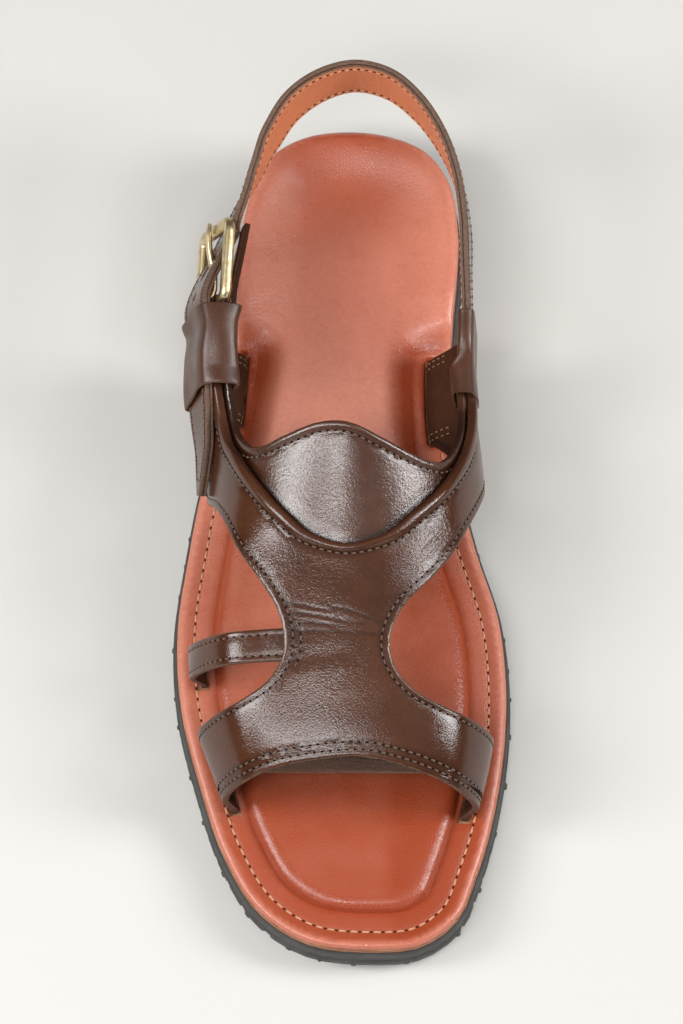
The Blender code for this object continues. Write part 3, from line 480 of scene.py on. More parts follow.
def sew(name, seams, materials, slot, pitch=STITCH_PITCH, length=STITCH_LENGTH, radius=THREAD_RADIUS,
        pinhole=PINHOLE):
    """Stitches along seams, each a dense line of points with its normals; between them dark discs stand for the
    needle holes as painted shade.
    """
    sides, rim = 6, 8
    verts, faces, indices = [], [], []
    for points, normals in seams:
        run = run_length(points)
        count = max(1, int(run[-1] / pitch))
        step = run[-1] / count

        def frame(s):
            up = unit(read(s, run, normals))
            ahead = unit(read(s + 0.3, run, points) - read(s - 0.3, run, points))
            return read(s, run, points), up, ahead, unit(np.cross(ahead, up))

        for k in range(count):
            faces += tube(len(verts), len(STITCH), sides)
            for along, thick, lift in STITCH:
                place, up, ahead, side = frame((k + 0.5) * step + along * length)
                verts += [place + up * lift * radius + (side * c + up * s * 0.8) * radius * thick
                          for c, s in circle(sides)]
            # A dark disc at each needle hole: painted shade in place of a hollow.
            place, up, ahead, side = frame(k * step)
            top = len(verts)
            verts += [place + up * 0.16,
                      *(place + (side * c * 0.8 + ahead * s * 1.2) * pinhole + up * 0.08
                        for c, s in circle(rim)),
                      place - up * 0.3]
            for j in range(rim):
                a, b = top + 1 + j, top + 1 + (j + 1) % rim
                faces += [[top, a, b], [top + rim + 1, b, a]]
            indices += [0] * (sides * (len(STITCH) - 1) + 2) + [1] * (2 * rim)
    finish_piece(add_object(name, verts, faces, materials, indices), slot)


# ---- leather cut to an outline on the last

def pattern_curve(points, spacing):
    """A smooth outline curve, spaced evenly in the flat pattern (millimetres of leather)."""
    return spline(np.asarray(points, float) * (PATTERN_WIDTH, 1), spacing)


def join_curves(curves, spacing):
    """Curves joined end to end into one closed outline, with straight runs across the gaps."""
    joined = []
    for curve, following in zip(curves, [*curves[1:], curves[0]]):
        joined.append(curve[:-1])
        gap = np.linalg.norm(following[0] - curve[-1])
        if gap > 1e-6:
            count = max(1, int(round(gap / spacing)))
            share = np.arange(count)[:, None] / count
            joined.append(curve[-1] * (1 - share) + following[0] * share)
    return np.vstack(joined)


def inset_line(curve, distance, trim_start, trim_end):
    """An open pattern curve moved to its left (right when negative), its ends trimmed in millimetres."""
    moved = resample(curve + left_of(np.gradient(curve, axis=0)) * distance, 1.0)
    return moved[trim_start:len(moved) - trim_end]


def on_last(flat, sunk):
    """Points of the flat pattern laid on the last, `sunk` below its surface: (points, normals)."""
    w, y = np.clip(flat[:, 0] / PATTERN_WIDTH, -1, 1), flat[:, 1]
    normal = last_normal(w, y)
    return last_surface(w, y) - normal * np.broadcast_to(sunk, len(flat))[:, None], normal


def leather(name, node, looks, outline, wall, depth, relief, spacing, sewn, pebbled=0.12, coarser=(),
            folded=None, followed=(), crevices=()):
    """A cut and sewn piece of leather: face, rounded cut edge and flesh side.

    `depth` is how far the face lies under the last's surface, `relief` what rises from it.
    `pebbled` says how coarse the grain is, `coarser` where it is more so (u, y, amount, reach).
    The edge along the `folded` curve is turned over, so that no cut edge shows; its wall takes the dark
    flesh-side material as painted shade.
    The mesh has edges along the `followed` lines; painted shade darkens it along the crevice lines (line,
    amount, reach).
    """
    rings = [(offset(outline, -d), d - 0.06) for d in EDGE_RINGS]
    lines = [run for line, margin in (*rings, *((line, 3.4) for line in followed))
             for run in clipped(line, outline, margin)]
    plan, triangles, rims = fill(outline, spacing, lines)
    to_edge = np.clip(distance_to(plan, outline, True), 0, EDGE_RADIUS)
    drop = EDGE_RADIUS - np.sqrt(EDGE_RADIUS**2 - (EDGE_RADIUS - to_edge) ** 2)
    sunk, height = depth(plan), relief(plan)
    verts = np.vstack([on_last(plan, sunk - height + drop)[0],
                       on_last(plan, sunk + wall - 0.35 * height - 0.5 * drop)[0]])
    verts[:, 2] = np.maximum(verts[:, 2], np.tile(midsole_top(plan[:, 1]) + GAP, 2))
    corners = np.array(triangles)
    cut, wall_look = to_edge[corners].mean(axis=1) < 0.22, np.ones(len(rims[0]))
    if folded is not None:
        cut &= distance_to(plan[corners].mean(axis=1), folded) > 1.0
        # The wall of the turned-over edge takes the dark flesh-side material: painted shade in the gap beside
        # it.
        wall_look = np.where(distance_to(plan[rims[0]], folded) > 0.5, 1, 2)
    obj = add_object(name + "_leather", verts, two_sided(triangles, len(plan), rims),
                     [looks.face, looks.cut_edge, looks.flesh],
                     np.concatenate([np.where(cut, 1, 0), np.full(len(triangles), 2), wall_look]))
    pebble, crevice = np.full(len(plan), pebbled), np.zeros(len(plan))
    for u, y, amount, reach in coarser:
        pebble += amount * spot(plan, u, y, reach)
    # Painted shade along the crevice lines.
    for line, amount, reach in crevices:
        crevice = np.maximum(crevice, amount * bell(distance_to(plan, line) / reach))
    paint(obj, pebble=pebble, crevice=crevice)
    finish_piece(obj, "brown_leather", node)
    dense = [resample(line, 0.6) for line in sewn]
    sew(name + "_stitching", [on_last(line, depth(line) - relief(line) - 0.05) for line in dense],
        [looks.thread, looks.hole], "brown_leather")


def spot(points, x, y, reach):
    return bell(np.hypot(points[:, 0] - x, points[:, 1] - y) / reach)


def bead(d, middle, half_width):
    """Half-round bead beside an edge at distance d."""
    return np.sqrt(np.clip(1 - ((d - middle) / half_width) ** 2, 0, 1))


def crease_axes(start, end):
    """Start, direction, left side and length of a crease."""
    along = np.subtract(end, start, dtype=float)
    return np.array(start, float), unit(along), left_of(along), np.linalg.norm(along)


def crease(flat, start, end, bow, width, deep):
    """A soft trough between two pattern points, with a small ridge on either side."""
    start, along, side, length = crease_axes(start, end)
    t = (flat - start) @ along / length
    across = (flat - start) @ side - bow * 4 * t * (1 - t)
    fade = smooth(t / 0.25) * smooth((1 - t) / 0.25)
    return deep * fade * (-bell(across / width) + 0.55 * bell((np.abs(across) - 1.9 * width) / width))


def crease_lines(start, end, bow, width, *_):
    """The ridges, sides and bottom of a crease, as pattern lines; the bottom is the third."""
    start, along, side, length = crease_axes(start, end)
    t = np.linspace(0, 1, max(4, int(length / 0.9)))[:, None]
    bottom = start + along * length * t + side * bow * 4 * t * (1 - t)
    return [bottom + side * width * share for share in (-1.9, -0.95, 0.0, 0.95, 1.9)]


# ---- materials

class Surface:
    """A material whose nodes all read the object's own coordinates."""

    def __init__(self, name, colour, roughness, specular=0.5, **constants):
        self.material = bpy.data.materials.new(name)
        self.material.use_nodes = True
        self.tree = self.material.node_tree
        self.where = self.tree.nodes.new("ShaderNodeTexCoord").outputs["Object"]
        self.wear(Base_Color=colour, Roughness=roughness, Specular_IOR_Level=specular, **constants)

    def join(self, node, inputs):
        for key, value in inputs.items():
            socket = node.inputs[key]
            if hasattr(value, "is_output"):
                self.tree.links.new(value, socket)
            else:
                socket.default_value = (*value, 1) if socket.type == "RGBA" else value

    def wear(self, **inputs):
        """Sets or links inputs of the material's shader."""
        self.join(self.tree.nodes["Principled BSDF"], {k.replace("_", " "): v for k, v in inputs.items()})
        return self.material

    def node(self, kind, output, inputs, **settings):
        node = self.tree.nodes.new("ShaderNode" + kind)
        for key, value in settings.items():
            setattr(node, key, value)
        self.join(node, inputs)
        return node.outputs[output]

    def noise(self, scale, detail=2.0, rough=0.5, stretch=None):
        where = self.where
        if stretch:
            where = self.node("Mapping", "Vector", {"Vector": where, "Scale": stretch})
        return self.node("TexNoise", "Fac",
                         {"Vector": where, "Scale": scale, "Detail": detail, "Roughness": rough})

    def remap(self, value, low, high, to_low=0.0, to_high=1.0):
        return self.node("MapRange", "Result", {"Value": value, "From Min": low, "From Max": high,
                                                "To Min": to_low, "To Max": to_high})

    def mix(self, share, a, b):
        return self.node("Mix", 2, {0: share, 6: a, 7: b}, data_type="RGBA")

    def bump(self, height, strength, distance, **under):
        return self.node("Bump", "Normal",
                         {"Height": height, "Strength": strength, "Distance": distance, **under})

    def attribute(self, name):
        return self.node("Attribute", "Fac", {}, attribute_name=name)

    def grain(self, cell, strength, fine=0.35):
        """Leather grain: shallow cells with creases between them, and a finer tooth on top."""
        moved = self.node("VectorMath", 0, {0: self.noise(cell * 0.5), 1: (0.0009,) * 3, 2: self.where},
                          operation="MULTIPLY_ADD")
        to_crease = self.node("TexVoronoi", "Distance", {"Vector": moved, "Scale": cell},
                              feature="DISTANCE_TO_EDGE")
        low = self.bump(self.remap(to_crease, 0.0, 0.22), strength, 0.00006)
        return self.bump(self.noise(cell * 2.6, 4.0, 0.6), strength * fine, 0.00006, Normal=low)


def times(colour, share):
    return tuple(share * c for c in colour)


def make_brown_leather(name, light=(0.084, 0.0272, 0.0106), dark=(0.054, 0.016, 0.0059), rough=(0.13, 0.21),
                       grain_strength=0.26, specular=0.5):
    """Dark polished leather; painted shade darkens it along seams, wrinkles and gaps, and the pebble mask
    coarsens its grain.
    """
    s = Surface(name, dark, 0.33, specular)
    cloud = s.remap(s.noise(55.0, 4.0, 0.55), 0.32, 0.68)
    speck = s.remap(s.noise(900.0, 3.0, 0.6), 0.35, 0.7, 0.0, 0.35)
    tone = s.mix(speck, s.mix(cloud, dark, light), times(dark, 0.55))
    # Painted shade along seams, wrinkles and gaps.
    tone = s.mix(s.attribute("crevice"), tone, times(dark, 0.25))
    lumps = s.node("Math", 0, {0: s.noise(950.0, 3.0, 0.6), 1: s.attribute("pebble")}, operation="MULTIPLY")
    return s.wear(Base_Color=tone, Roughness=s.remap(s.noise(160.0, 4.0, 0.6), 0.3, 0.7, *rough),
                  Normal=s.bump(lumps, 1.0, 0.0002, Normal=s.grain(1050.0, grain_strength)))


def make_tan_leather(name, base, deep, pale):
    """Terracotta leather; painted shade darkens it towards `deep` in its hollows and beside and under the
    straps, and wear with painted sheen lightens its flats towards `pale`.
    """
    s = Surface(name, base, 0.34, Coat_Weight=0.2, Coat_Roughness=0.2)
    cloud = s.remap(s.noise(60.0, 3.0), 0.3, 0.7, 0.0, 0.6)
    fleck = s.remap(s.noise(900.0, 4.0, 0.6, (0.6, 1.0, 1.0)), 0.4, 0.72, 0.0, 0.2)
    tone = s.mix(cloud, base, tuple(0.5 * (a + b) for a, b in zip(base, pale)))
    # Wear and painted sheen make the tone pale; painted shade then darkens it towards `deep`.
    tone = s.mix(s.attribute("worn"), tone, pale)
    tone = s.mix(fleck, tone, times(base, 0.66))
    return s.wear(Base_Color=s.mix(s.attribute("burnish"), tone, deep),
                  Roughness=s.remap(s.noise(120.0), 0.3, 0.7, 0.24, 0.38), Normal=s.grain(900.0, 0.65, 0.6))


def make_simple(name, colour, roughness, specular, dark, light, texture, spread, relief=None, **constants):
    """Two colours mixed by one noise; `relief` is the height of that noise, or of one of its own."""
    s = Surface(name, colour, roughness, specular, **constants)
    share = s.remap(s.noise(*texture), *spread)
    if relief:
        height, *amounts = relief
        s.wear(Normal=s.bump(s.noise(*height) if height else share, *amounts))
    return s.wear(Base_Color=s.mix(share, dark, light))


def make_thread(name, light, dark):
    return make_simple(name, light, 0.62, 0.3, dark, light, (2600.0,), (0.35, 0.65), (None, 0.5, 0.00015),
                       Sheen_Weight=0.25)


def make_rubber():
    s = Surface("rubber", (0.03, 0.03, 0.029), 0.6, 0.4)
    dust = s.remap(s.noise(90.0, 6.0, 0.7), 0.42, 0.75, 0.0, 0.6)
    stipple = s.bump(s.noise(1500.0, 3.0, 0.6), 0.4, 0.0003)
    scuffs = s.bump(s.noise(70.0, 4.0, 0.5, (1.0, 1.0, 9.0)), 0.25, 0.0005, Normal=stipple)
    return s.wear(Base_Color=s.mix(dust, (0.048, 0.047, 0.045), (0.11, 0.105, 0.1)), Normal=scuffs)


def make_brass():
    s = Surface("antique_brass", (0.62, 0.45, 0.2), 0.28, Metallic=1.0)
    tarnish = s.remap(s.noise(210.0, 5.0, 0.65), 0.42, 0.68)
    return s.wear(Base_Color=s.mix(tarnish, (0.72, 0.6, 0.36), (0.4, 0.3, 0.16)),
                  Roughness=s.remap(tarnish, 0.0, 1.0, 0.3, 0.52),
                  Normal=s.bump(s.noise(900.0, 4.0), 0.15, 0.0002))


# ---- sole

def notched(outline):
    """The footbed's outline with its two side notches."""
    reach, margin, round_in = VAMP_WALL + GAP + 0.5, 1.5, 0.8
    pieces, was_cut = [], False
    for i, (x, y) in enumerate(outline):
        side = 1 if x > 0 else -1
        low, high = NOTCH_Y[side]
        cut = low - margin < y < high + margin
        if not cut:
            pieces.append((x, y))
        elif not was_cut:
            edge = sorted((q, side * p) for p, q in outline if side * p > 20)
            inner = [(foot_x(side, q) - side * reach, q)
                     for q in np.linspace(low + round_in, high - round_in, 22)]

            def wall(end, inner_x):
                mouth = side * np.interp(end, *zip(*edge))
                return [(mouth * (1 - t) + (inner_x + side * round_in) * t, end) for t in (0, 0.35, 0.7, 1)]

            run = [*wall(low, inner[0][0]), *inner, *wall(high, inner[-1][0])[::-1]]
            pieces += run if outline[(i + 1) % len(outline)][1] > y else run[::-1]
        was_cut = cut
    return np.array(pieces)


def pad_outline(outline):
    """Plan of the raised pad: inside the sewn rim in front, full width behind the notches."""
    x, y = outline.T
    by_notch = smooth((y - 5) / 28) * (x < 0)
    inner = offset(outline, -(RIM_WIDTH + (RIM_BY_NOTCH - RIM_WIDTH) * by_notch)[:, None])
    behind = smooth((y - np.where(x > 0, NOTCH_Y[1][1], NOTCH_Y[-1][1]) - 1.0) / 5)
    ring = inner * (1 - behind)[:, None] + offset(outline, 6.0) * behind[:, None]
    ring[:, 1] = ring[:, 1] * (1 - behind) + y * behind
    return ring


def rim_seam(points):
    """How far in the rim's seam runs; closer to the edge before the medial notch."""
    return RIM_SEAM - 1.7 * smooth((points[:, 1] - 2) / 22) * (points[:, 0] > 0)


def footbed_shape():
    """The footbed's outline, its plan with the notches, the pad's outline and the form of its top."""
    outline = offset(spline(OUTSOLE_OUTLINE, 1.6, closed=True), -FOOTBED_INSET)
    plan, pad = notched(outline), pad_outline(outline)

    def top(points):
        x, y = points.T
        into_pad = depth_inside(points, pad)
        to_edge = np.clip(depth_inside(points, outline), 0, None)
        to_cut = distance_to(points, plan, True)
        shoulder = np.clip(into_pad / PAD_SHOULDER, 0, 1)
        by_notch = 0.85 * smooth((y - 14) / 14) * (1 - smooth((y - 72) / 14))
        profile = np.sqrt(1 - (1 - shoulder) ** 2.2) * (1 - by_notch) + smooth(into_pad / 10) * by_notch
        rise = PAD_RISE * profile - 0.7 * smooth((into_pad - PAD_SHOULDER) / 12)
        groove = 0.3 * bell((into_pad + 0.35) / 0.4) * (to_edge > 6) * (1 - by_notch)
        cup = HEEL_CUP_RISE * (1 - smooth((to_edge - 1) / 22)) * smooth((y - 50) / 34)
        roll = 0.3 * np.sin(np.pi * np.clip(to_edge / 4.4, 0, 1))
        sewn = -0.32 * bell((to_edge - rim_seam(points)) / 0.55)
        front = 1 - smooth((y - 24) / 8)
        round_edge = 1.2 * (1 - np.sqrt(1 - (1 - np.clip(to_cut / 1.5, 0, 1)) ** 2))
        dimple = 0.12 * np.sin(x / 7.0 + 1.3 * np.sin(y / 11.0)) * np.sin(y / 9.0) * smooth(into_pad / 8)
        height = midsole_top(y) + GAP + RIM_THICK + rise - groove + cup + (roll + sewn) * front + dimple
        return height - round_edge, into_pad, to_edge, to_cut

    return outline, plan, pad, top


def footbed_tones(points, into_pad, to_edge, to_cut):
    """Where painted shade darkens the footbed's leather, and where wear and painted sheen make it pale."""
    x, y = points.T
    # Painted shade: in the groove round the pad and down its shoulder, along the notch cuts, in the heel cup,
    # under the vamp's front band, towards the toe and beside the arm roots; it is also darker towards the inner
    # side in front of the notch.
    groove = (bell((into_pad - 1.6) / 1.9) * np.clip(1.25 - smooth((y - 62) / 6), 0, 1)
              + 0.45 * bell((into_pad + 0.3) / 0.6))
    notch = bell((to_cut - 0.3) / 0.8) * 0.5
    heel = smooth((y - 88) / 40) * (1 - smooth((np.abs(x - 1) - 10) / 22)) * 0.6
    under_band = 0.75 * bell((y + 88) / 12) * (np.abs(x - 3) < 45) * smooth(into_pad / 3)
    toe = 0.8 * smooth((-86 - y) / 22)
    inner_side = 0.5 * smooth((x - 12) / 14) * smooth((64 - y) / 12)
    by_arms = 0.75 * spot(points, -30, 61, 7) + 0.75 * spot(points, 28, 57, 7)
    # The rounded outer edge gets less painted shade and a pale band of painted sheen.
    rolled = smooth((3.0 - to_edge) / 1.4)
    burnish = np.clip(by_arms + 0.9 * groove + notch + heel + toe + inner_side + under_band, 0, 1)
    # Pale: painted sheen on the pad's flats, most in the middle; the toe patches are wear; the rim is paler in
    # front, more on the outer side.
    middle, behind = bell((y - 32) / 26), smooth((y + 12) / 20)
    worn = smooth((into_pad - 3) / 9) * (0.12 + behind * (0.5 + 0.6 * middle)) * (1 - heel)
    for at_x, at_y, reach, amount in TOE_PATCHES:
        worn = worn + amount * spot(points, at_x, at_y, reach) * smooth(into_pad / 3)
    rim = smooth((-1.5 - into_pad) / 2) * smooth((y + 85) / 30) * (0.15 + 0.25 * smooth((x + 15) / 30))
    return burnish * (1 - 0.7 * rolled), np.clip(worn + rim + 0.5 * rolled, 0, 1)


def make_footbed(looks):
    outline, plan, pad, top = footbed_shape()
    lines = [run for deep in (-0.35, 0.12, 0.6, 1.5, 3.0) for run in clipped(offset(pad, -deep), plan, 2.2)]
    lines += [run for deep in (0.35, 0.9) for run in clipped(offset(plan, -deep), plan, 0.15)]
    for more in (-0.5, 0.0, 0.5):
        ring = offset(outline, -(rim_seam(outline) + more)[:, None])
        lines += [run[run[:, 1] < 29] for run in clipped(ring, plan, 2.2)]
    holes = []
    for side, low, high, reach in STRAP_SLOTS:
        ys = np.linspace(low - 0.9, high + 0.9, 14)
        outer, inner = [[(foot_x(side, y) + side * out, y) for y in ys] for out in (0.9, -reach)]
        holes.append(np.array(outer + inner[::-1]))
    lines = [run for line in lines if len(line) > 3
             for run in runs_of(line, np.all([depth_inside(line, hole) < -0.6 for hole in holes], axis=0))]
    points, triangles, rims = fill(plan, 1.5, lines, holes)
    height, *depths = top(points)
    for hole in holes:
        height -= 0.5 * (1 - smooth(distance_to(points, hole, True) / 1.6))
    base = midsole_top(points[:, 1]) + GAP
    verts = np.vstack([np.column_stack([points, z]) for z in (height, base)])
    obj = add_object("footbed_leather", verts, two_sided(triangles, len(points), rims), [looks.tan])
    # Painted shade, and wear with painted sheen, for the tan material to read.
    burnish, worn = footbed_tones(points, *depths)
    paint(obj, burnish=burnish, worn=worn)
    finish_piece(obj, "tan_leather", "footbed")

    seam = offset(outline, -rim_seam(outline)[:, None])
    seam = np.roll(seam, -int(np.argmax(seam[:, 1])), axis=0)
    ends = np.where(seam[:, 0] > 0, NOTCH_Y[1][0], NOTCH_Y[-1][0]) - 1.2
    dense = resample(seam[seam[:, 1] < ends], 0.8)
    line = np.column_stack([dense, top(dense)[0] + 0.1])
    sew("footbed_stitching", [(line, np.tile([0.0, 0.0, 1.0], (len(line), 1)))],
        [looks.cream, looks.tan_hole], "tan_leather", 3.75, 2.5, 0.32)


def make_outsole_details(looks):
    """The lug ends of the tread, which stand a little out of the edge along the ground."""
    outline = offset(spline(OUTSOLE_OUTLINE, 1.0, closed=True), 0.1)
    random.seed(7)
    verts, faces = [], []
    run, pitch = 0.0, 14.0
    for k in range(1, len(outline)):
        run += float(np.linalg.norm(outline[k] - outline[k - 1]))
        y = outline[k][1]
        if run < pitch or 4 < y < 70:
            continue
        run, pitch = 0.0, random.uniform(9.0, 21.0)
        ahead = unit(outline[(k + 1) % len(outline)] - outline[k - 1])
        out = left_of(ahead) * math.copysign(1, np.dot(left_of(ahead), outline[k]))
        size = random.uniform(0.3, 0.75)
        half = random.uniform(0.6, 1.3)
        corners = ((-1.0, 1.3, 0.25), (size, 0.7, 0.5), (size * 0.8, 0.6, 1.9), (-1.0, 1.2, 2.3))
        faces += tube(len(verts), 2, len(corners))
        verts += [(*(outline[k] + out * reach + ahead * end * wide * half), spring(y) + z)
                  for end in (-1, 1) for reach, wide, z in corners]
    obj = add_object("outsole_lug_ends", verts, faces, [looks.rubber])
    bevel(obj, 0.15, 1, 30)
    finish_piece(obj, "rubber")


# ---- upper

def make_vamp(looks):
    curves = {name: pattern_curve(table, PATTERN_STEP) for name, table in VAMP.items()}
    front, medial, top, lateral = (curves[name] for name in ("front", "medial", "top", "lateral"))
    waist = lateral[(lateral[:, 1] < -46) & (lateral[:, 1] > -62)]
    sunk_seams = [inset_line(front, SEAM_IN, 4, 4), inset_line(front, SEAM_IN + DOUBLE_SEAM, 4, 4),
                  inset_line(medial, SEAM_IN - 0.3, 4, 6), inset_line(lateral, SEAM_IN - 0.3, 8, 4),
                  inset_line(waist, SEAM_IN + 1.2, 1, 1)]
    seams = [*sunk_seams, inset_line(top, 3.2, 2, 2)]
    creases = [crease_lines(*row) for row in VAMP_CREASES]

    def relief(flat):
        d = distance_to(flat, top)
        height = 0.75 * bead(d, 1.25, 1.3) - 0.35 * bell((d - 3.1) / 0.6)
        for line in sunk_seams:
            height = height - 0.2 * bell(distance_to(flat, line) / 0.55)
        for row in VAMP_CREASES:
            height = height + crease(flat, *row)
        u, y = flat.T
        soft = np.sin(u / 5.3 + 1.1 * np.sin(y / 6.1)) * np.sin(y / 4.7 + 0.6 * np.sin(u / 8.0))
        return height + 0.09 * soft * smooth((y + 70) / 25)

    leather("vamp", "vamp", looks, join_curves(list(curves.values()), PATTERN_STEP), VAMP_WALL,
            lambda flat: 0.0, relief, 1.25, seams, pebbled=0.1,
            coarser=[(22, -19, 0.9, 11), (-20, -26, 0.6, 9), (-4, -50, 0.3, 12), (-8, -32, 0.4, 10)],
            folded=top, followed=[*seams, *(line for lines in creases for line in lines)],
            # Painted shade in the sunk seams and the waist wrinkles.
            crevices=[(line, 0.65, 0.7) for line in seams] + [(lines[2], 0.5, 0.6) for lines in creases[:7]])

    # The roots of the two arms show their inside in the notches: double seams near both edges
    inside = []
    for side, (low, high) in ((1, (32.0, 58.4)), (-1, (38.8, 60.2))):
        for y in (low, low + 2.0, high - 2.0, high):
            line = np.column_stack([np.linspace(0.8, 0.985, 12) * side * PATTERN_WIDTH, np.full(12, y)])
            points, normals = on_last(resample(line, 0.5), VAMP_WALL)
            points = points[points[:, 2] > midsole_top(y) + 1.0]
            inside.append((points, -normals[:len(points)]))
    sew("arm_root_stitching", inside, [looks.gold, looks.hole], "brown_leather", 2.4, 1.7, 0.22, 0.3)


def make_small_strap(looks):
    rear, front = pattern_curve(SMALL_STRAP_REAR, 1.2), pattern_curve(SMALL_STRAP_FRONT, 1.2)
    seams = [inset_line(rear, -1.9, 3, 0), inset_line(front, -1.9, 0, 3)]

    def depth(flat):
        return VAMP_WALL * 0.45 + 1.55 * smooth((flat[:, 0] / PATTERN_WIDTH + 0.36) / 0.13)

    def relief(flat):
        return -0.18 * sum(bell(distance_to(flat, line) / 0.5) for line in seams)

    shown = [line[line[:, 0] < -0.2 * PATTERN_WIDTH] for line in seams]
    leather("small_strap", "vamp", looks, join_curves([rear, front], 1.2), SMALL_STRAP_WALL, depth, relief,
            1.2, shown)


def panel_depth(y):
    return VAMP_WALL + GAP + 0.25 + GUARD_DRAW * smooth((y - 56) / 8)


def make_instep_panel(looks):
    top = pattern_curve([*PANEL_TOP, PANEL_TIP], PATTERN_STEP)
    under = pattern_curve([PANEL_TIP, *PANEL_UNDER], PATTERN_STEP)
    seam = inset_line(top, 3.0, 2, 8)
    under_edge = inset_line(pattern_curve(VAMP_TOP, PATTERN_STEP), -0.2, 12, 18)

    def relief(flat):
        d, (u, y) = distance_to(flat, top), flat.T
        soft = np.sin(u / 6.0 + np.sin(y / 5.0)) * np.sin(y / 5.5)
        return (0.55 * bead(d, 1.2, 1.25) - 0.25 * bell((d - 3.0) / 0.6) + 0.05 * soft
                - 0.4 * bell(distance_to(flat, under_edge) / 1.9))

    leather("instep_panel", "instep_panel", looks, join_curves([top, under], PATTERN_STEP), PANEL_WALL,
            lambda flat: panel_depth(flat[:, 1]), relief, PATTERN_STEP, [seam], pebbled=0.3,
            coarser=[(24, 2, 0.7, 13), (-14, -2, 0.25, 14)], folded=top, followed=[seam],
            # Painted shade in the seam and in the gap under the vamp's top edge.
            crevices=[(seam, 0.65, 0.7), (under_edge, 0.9, 1.2)])


# ---- heel strap, keepers, buckle

def buckle_axes():
    """Along the strap, across it and out of the buckle's plane."""
    slope, lean = math.radians(BUCKLE_SLOPE), math.radians(BUCKLE_LEAN)
    along = unit([0.06, math.cos(slope), math.sin(slope)])
    up = np.array([math.sin(lean), 0, math.cos(lean)])
    up = unit(up - along * np.dot(up, along))
    return along, up, unit(np.cross(up, along))


def strap_frames():
    """Frames (centre, width axis, outward axis, half width) along the heel strap, evenly spaced."""
    along, _, out = buckle_axes()
    rows = [[*row, STRAP_HALF_WIDTH] for row in STRAP_ROWS]
    rows += [[*(BUCKLE_CENTRE + along * u + out * n), BUCKLE_LEAN, STRAP_HALF_WIDTH - 0.1]
             for u, n in STRAP_AT_BUCKLE]
    for w, y, half in STRAP_TAIL:
        normal = last_normal(w, y)[0]
        lean = math.degrees(math.atan2(normal[2], math.hypot(normal[0], normal[1]))) + TAIL_LEAN
        rows.append([*under_last(w, y, -HEEL_STRAP_WALL / 2 - 2 * GAP), lean, half])
    path = spline(rows, 1.5)
    frames = []
    for p, t in zip(path, unit(np.gradient(path[:, :3], axis=0))):
        level_out = unit(np.cross(t, [0, 0, 1]))
        lean = math.radians(p[3])
        width_axis = math.cos(lean) * np.cross(level_out, t) - math.sin(lean) * level_out
        frames.append((p[:3], width_axis, np.cross(t, width_axis), p[4]))
    return frames


def strap_point(frames, y, side, across=0.0, outward=0.0):
    """Point of the strap at y: so many half widths up from its middle, so many millimetres out."""
    line = np.array(sorted([tuple(centre + up * half * across + out * outward)
                            for centre, up, out, half in frames if centre[0] * side > 20],
                           key=lambda p: p[1]))
    return read(y, line[:, 1], line)


def strip_section(half, low, high, radius, dip_at, dip):
    """Section of a strap layer from `low` to `high` outwards, its outer face dipped along the seams."""
    right = arc(half - radius, high - radius, radius, 0, 90, 3)
    left = [(-v, n) for v, n in right[::-1]]
    flat = np.linspace(half - radius, radius - half, 16)[1:-1]
    face = [(v, high - dip * bell((abs(v) - dip_at) / 0.5)) for v in flat]
    low_r = min(radius, 0.3)
    return [*right, *face, *left, (-half, low + low_r), (low_r - half, low), (half - low_r, low),
            (half, low + low_r)]


def make_strap_layer(name, frames, way, low, narrower, radius, dip, cutter, materials, slot):
    """One layer of the strap, on its outer (way 1) or inner (-1) face; its long cut edges show."""
    sections = [strip_section(max(half - narrower, 0.5), low + 0.02, HEEL_STRAP_WALL / 2, radius,
                              max(half - STRAP_SEAM_IN, 0.3), dip) for *_, half in frames]
    obj = sweep(name, [(centre, up, out * way) for centre, up, out, _ in frames], sections, materials)
    modify(obj, "BOOLEAN", object=cutter)
    tree = search_tree([centre * MM for centre, *_ in frames])
    for polygon in obj.data.polygons:
        up = frames[tree.find(polygon.center)[1]][1]
        polygon.material_index = int(abs(np.dot(up, polygon.normal)) > 0.5)
    finish_piece(obj, slot, "heel_strap")


def strap_seams(frames, way):
    """The seams along both edges of a layer, as far as the tail is wide enough."""
    seams = []
    for edge in (-1, 1):
        rows = [(*(centre + up * edge * (half - STRAP_SEAM_IN) + out * way * (HEEL_STRAP_WALL / 2 - 0.06)),
                 *out * way) for centre, up, out, half in frames if half > STRAP_SEAM_IN + 1.2]
        points = resample(rows, 0.8)[4:-2]
        seams.append((points[:, :3], points[:, 3:]))
    return seams


def make_heel_strap(looks, frames):
    """Outer layer and lining, both pierced by the pin holes."""
    split, cutter = LINING_WALL - HEEL_STRAP_WALL / 2, make_hole_cutter(frames)
    make_strap_layer("heel_strap_outer", frames, 1, split, 0, 0.5, 0.16, cutter,
                     [looks.brown, looks.cut_edge], "brown_leather")
    make_strap_layer("heel_strap_lining", frames, -1, -split, 0.25, 0.35, 0.14, cutter,
                     [looks.lining, looks.cut_edge], "tan_leather")
    bpy.data.objects.remove(cutter)
    sew("heel_strap_stitching", strap_seams(frames, 1), [looks.thread, looks.hole], "brown_leather")
    sew("heel_strap_lining_stitching", strap_seams(frames, -1), [looks.cream, looks.hole], "tan_leather")


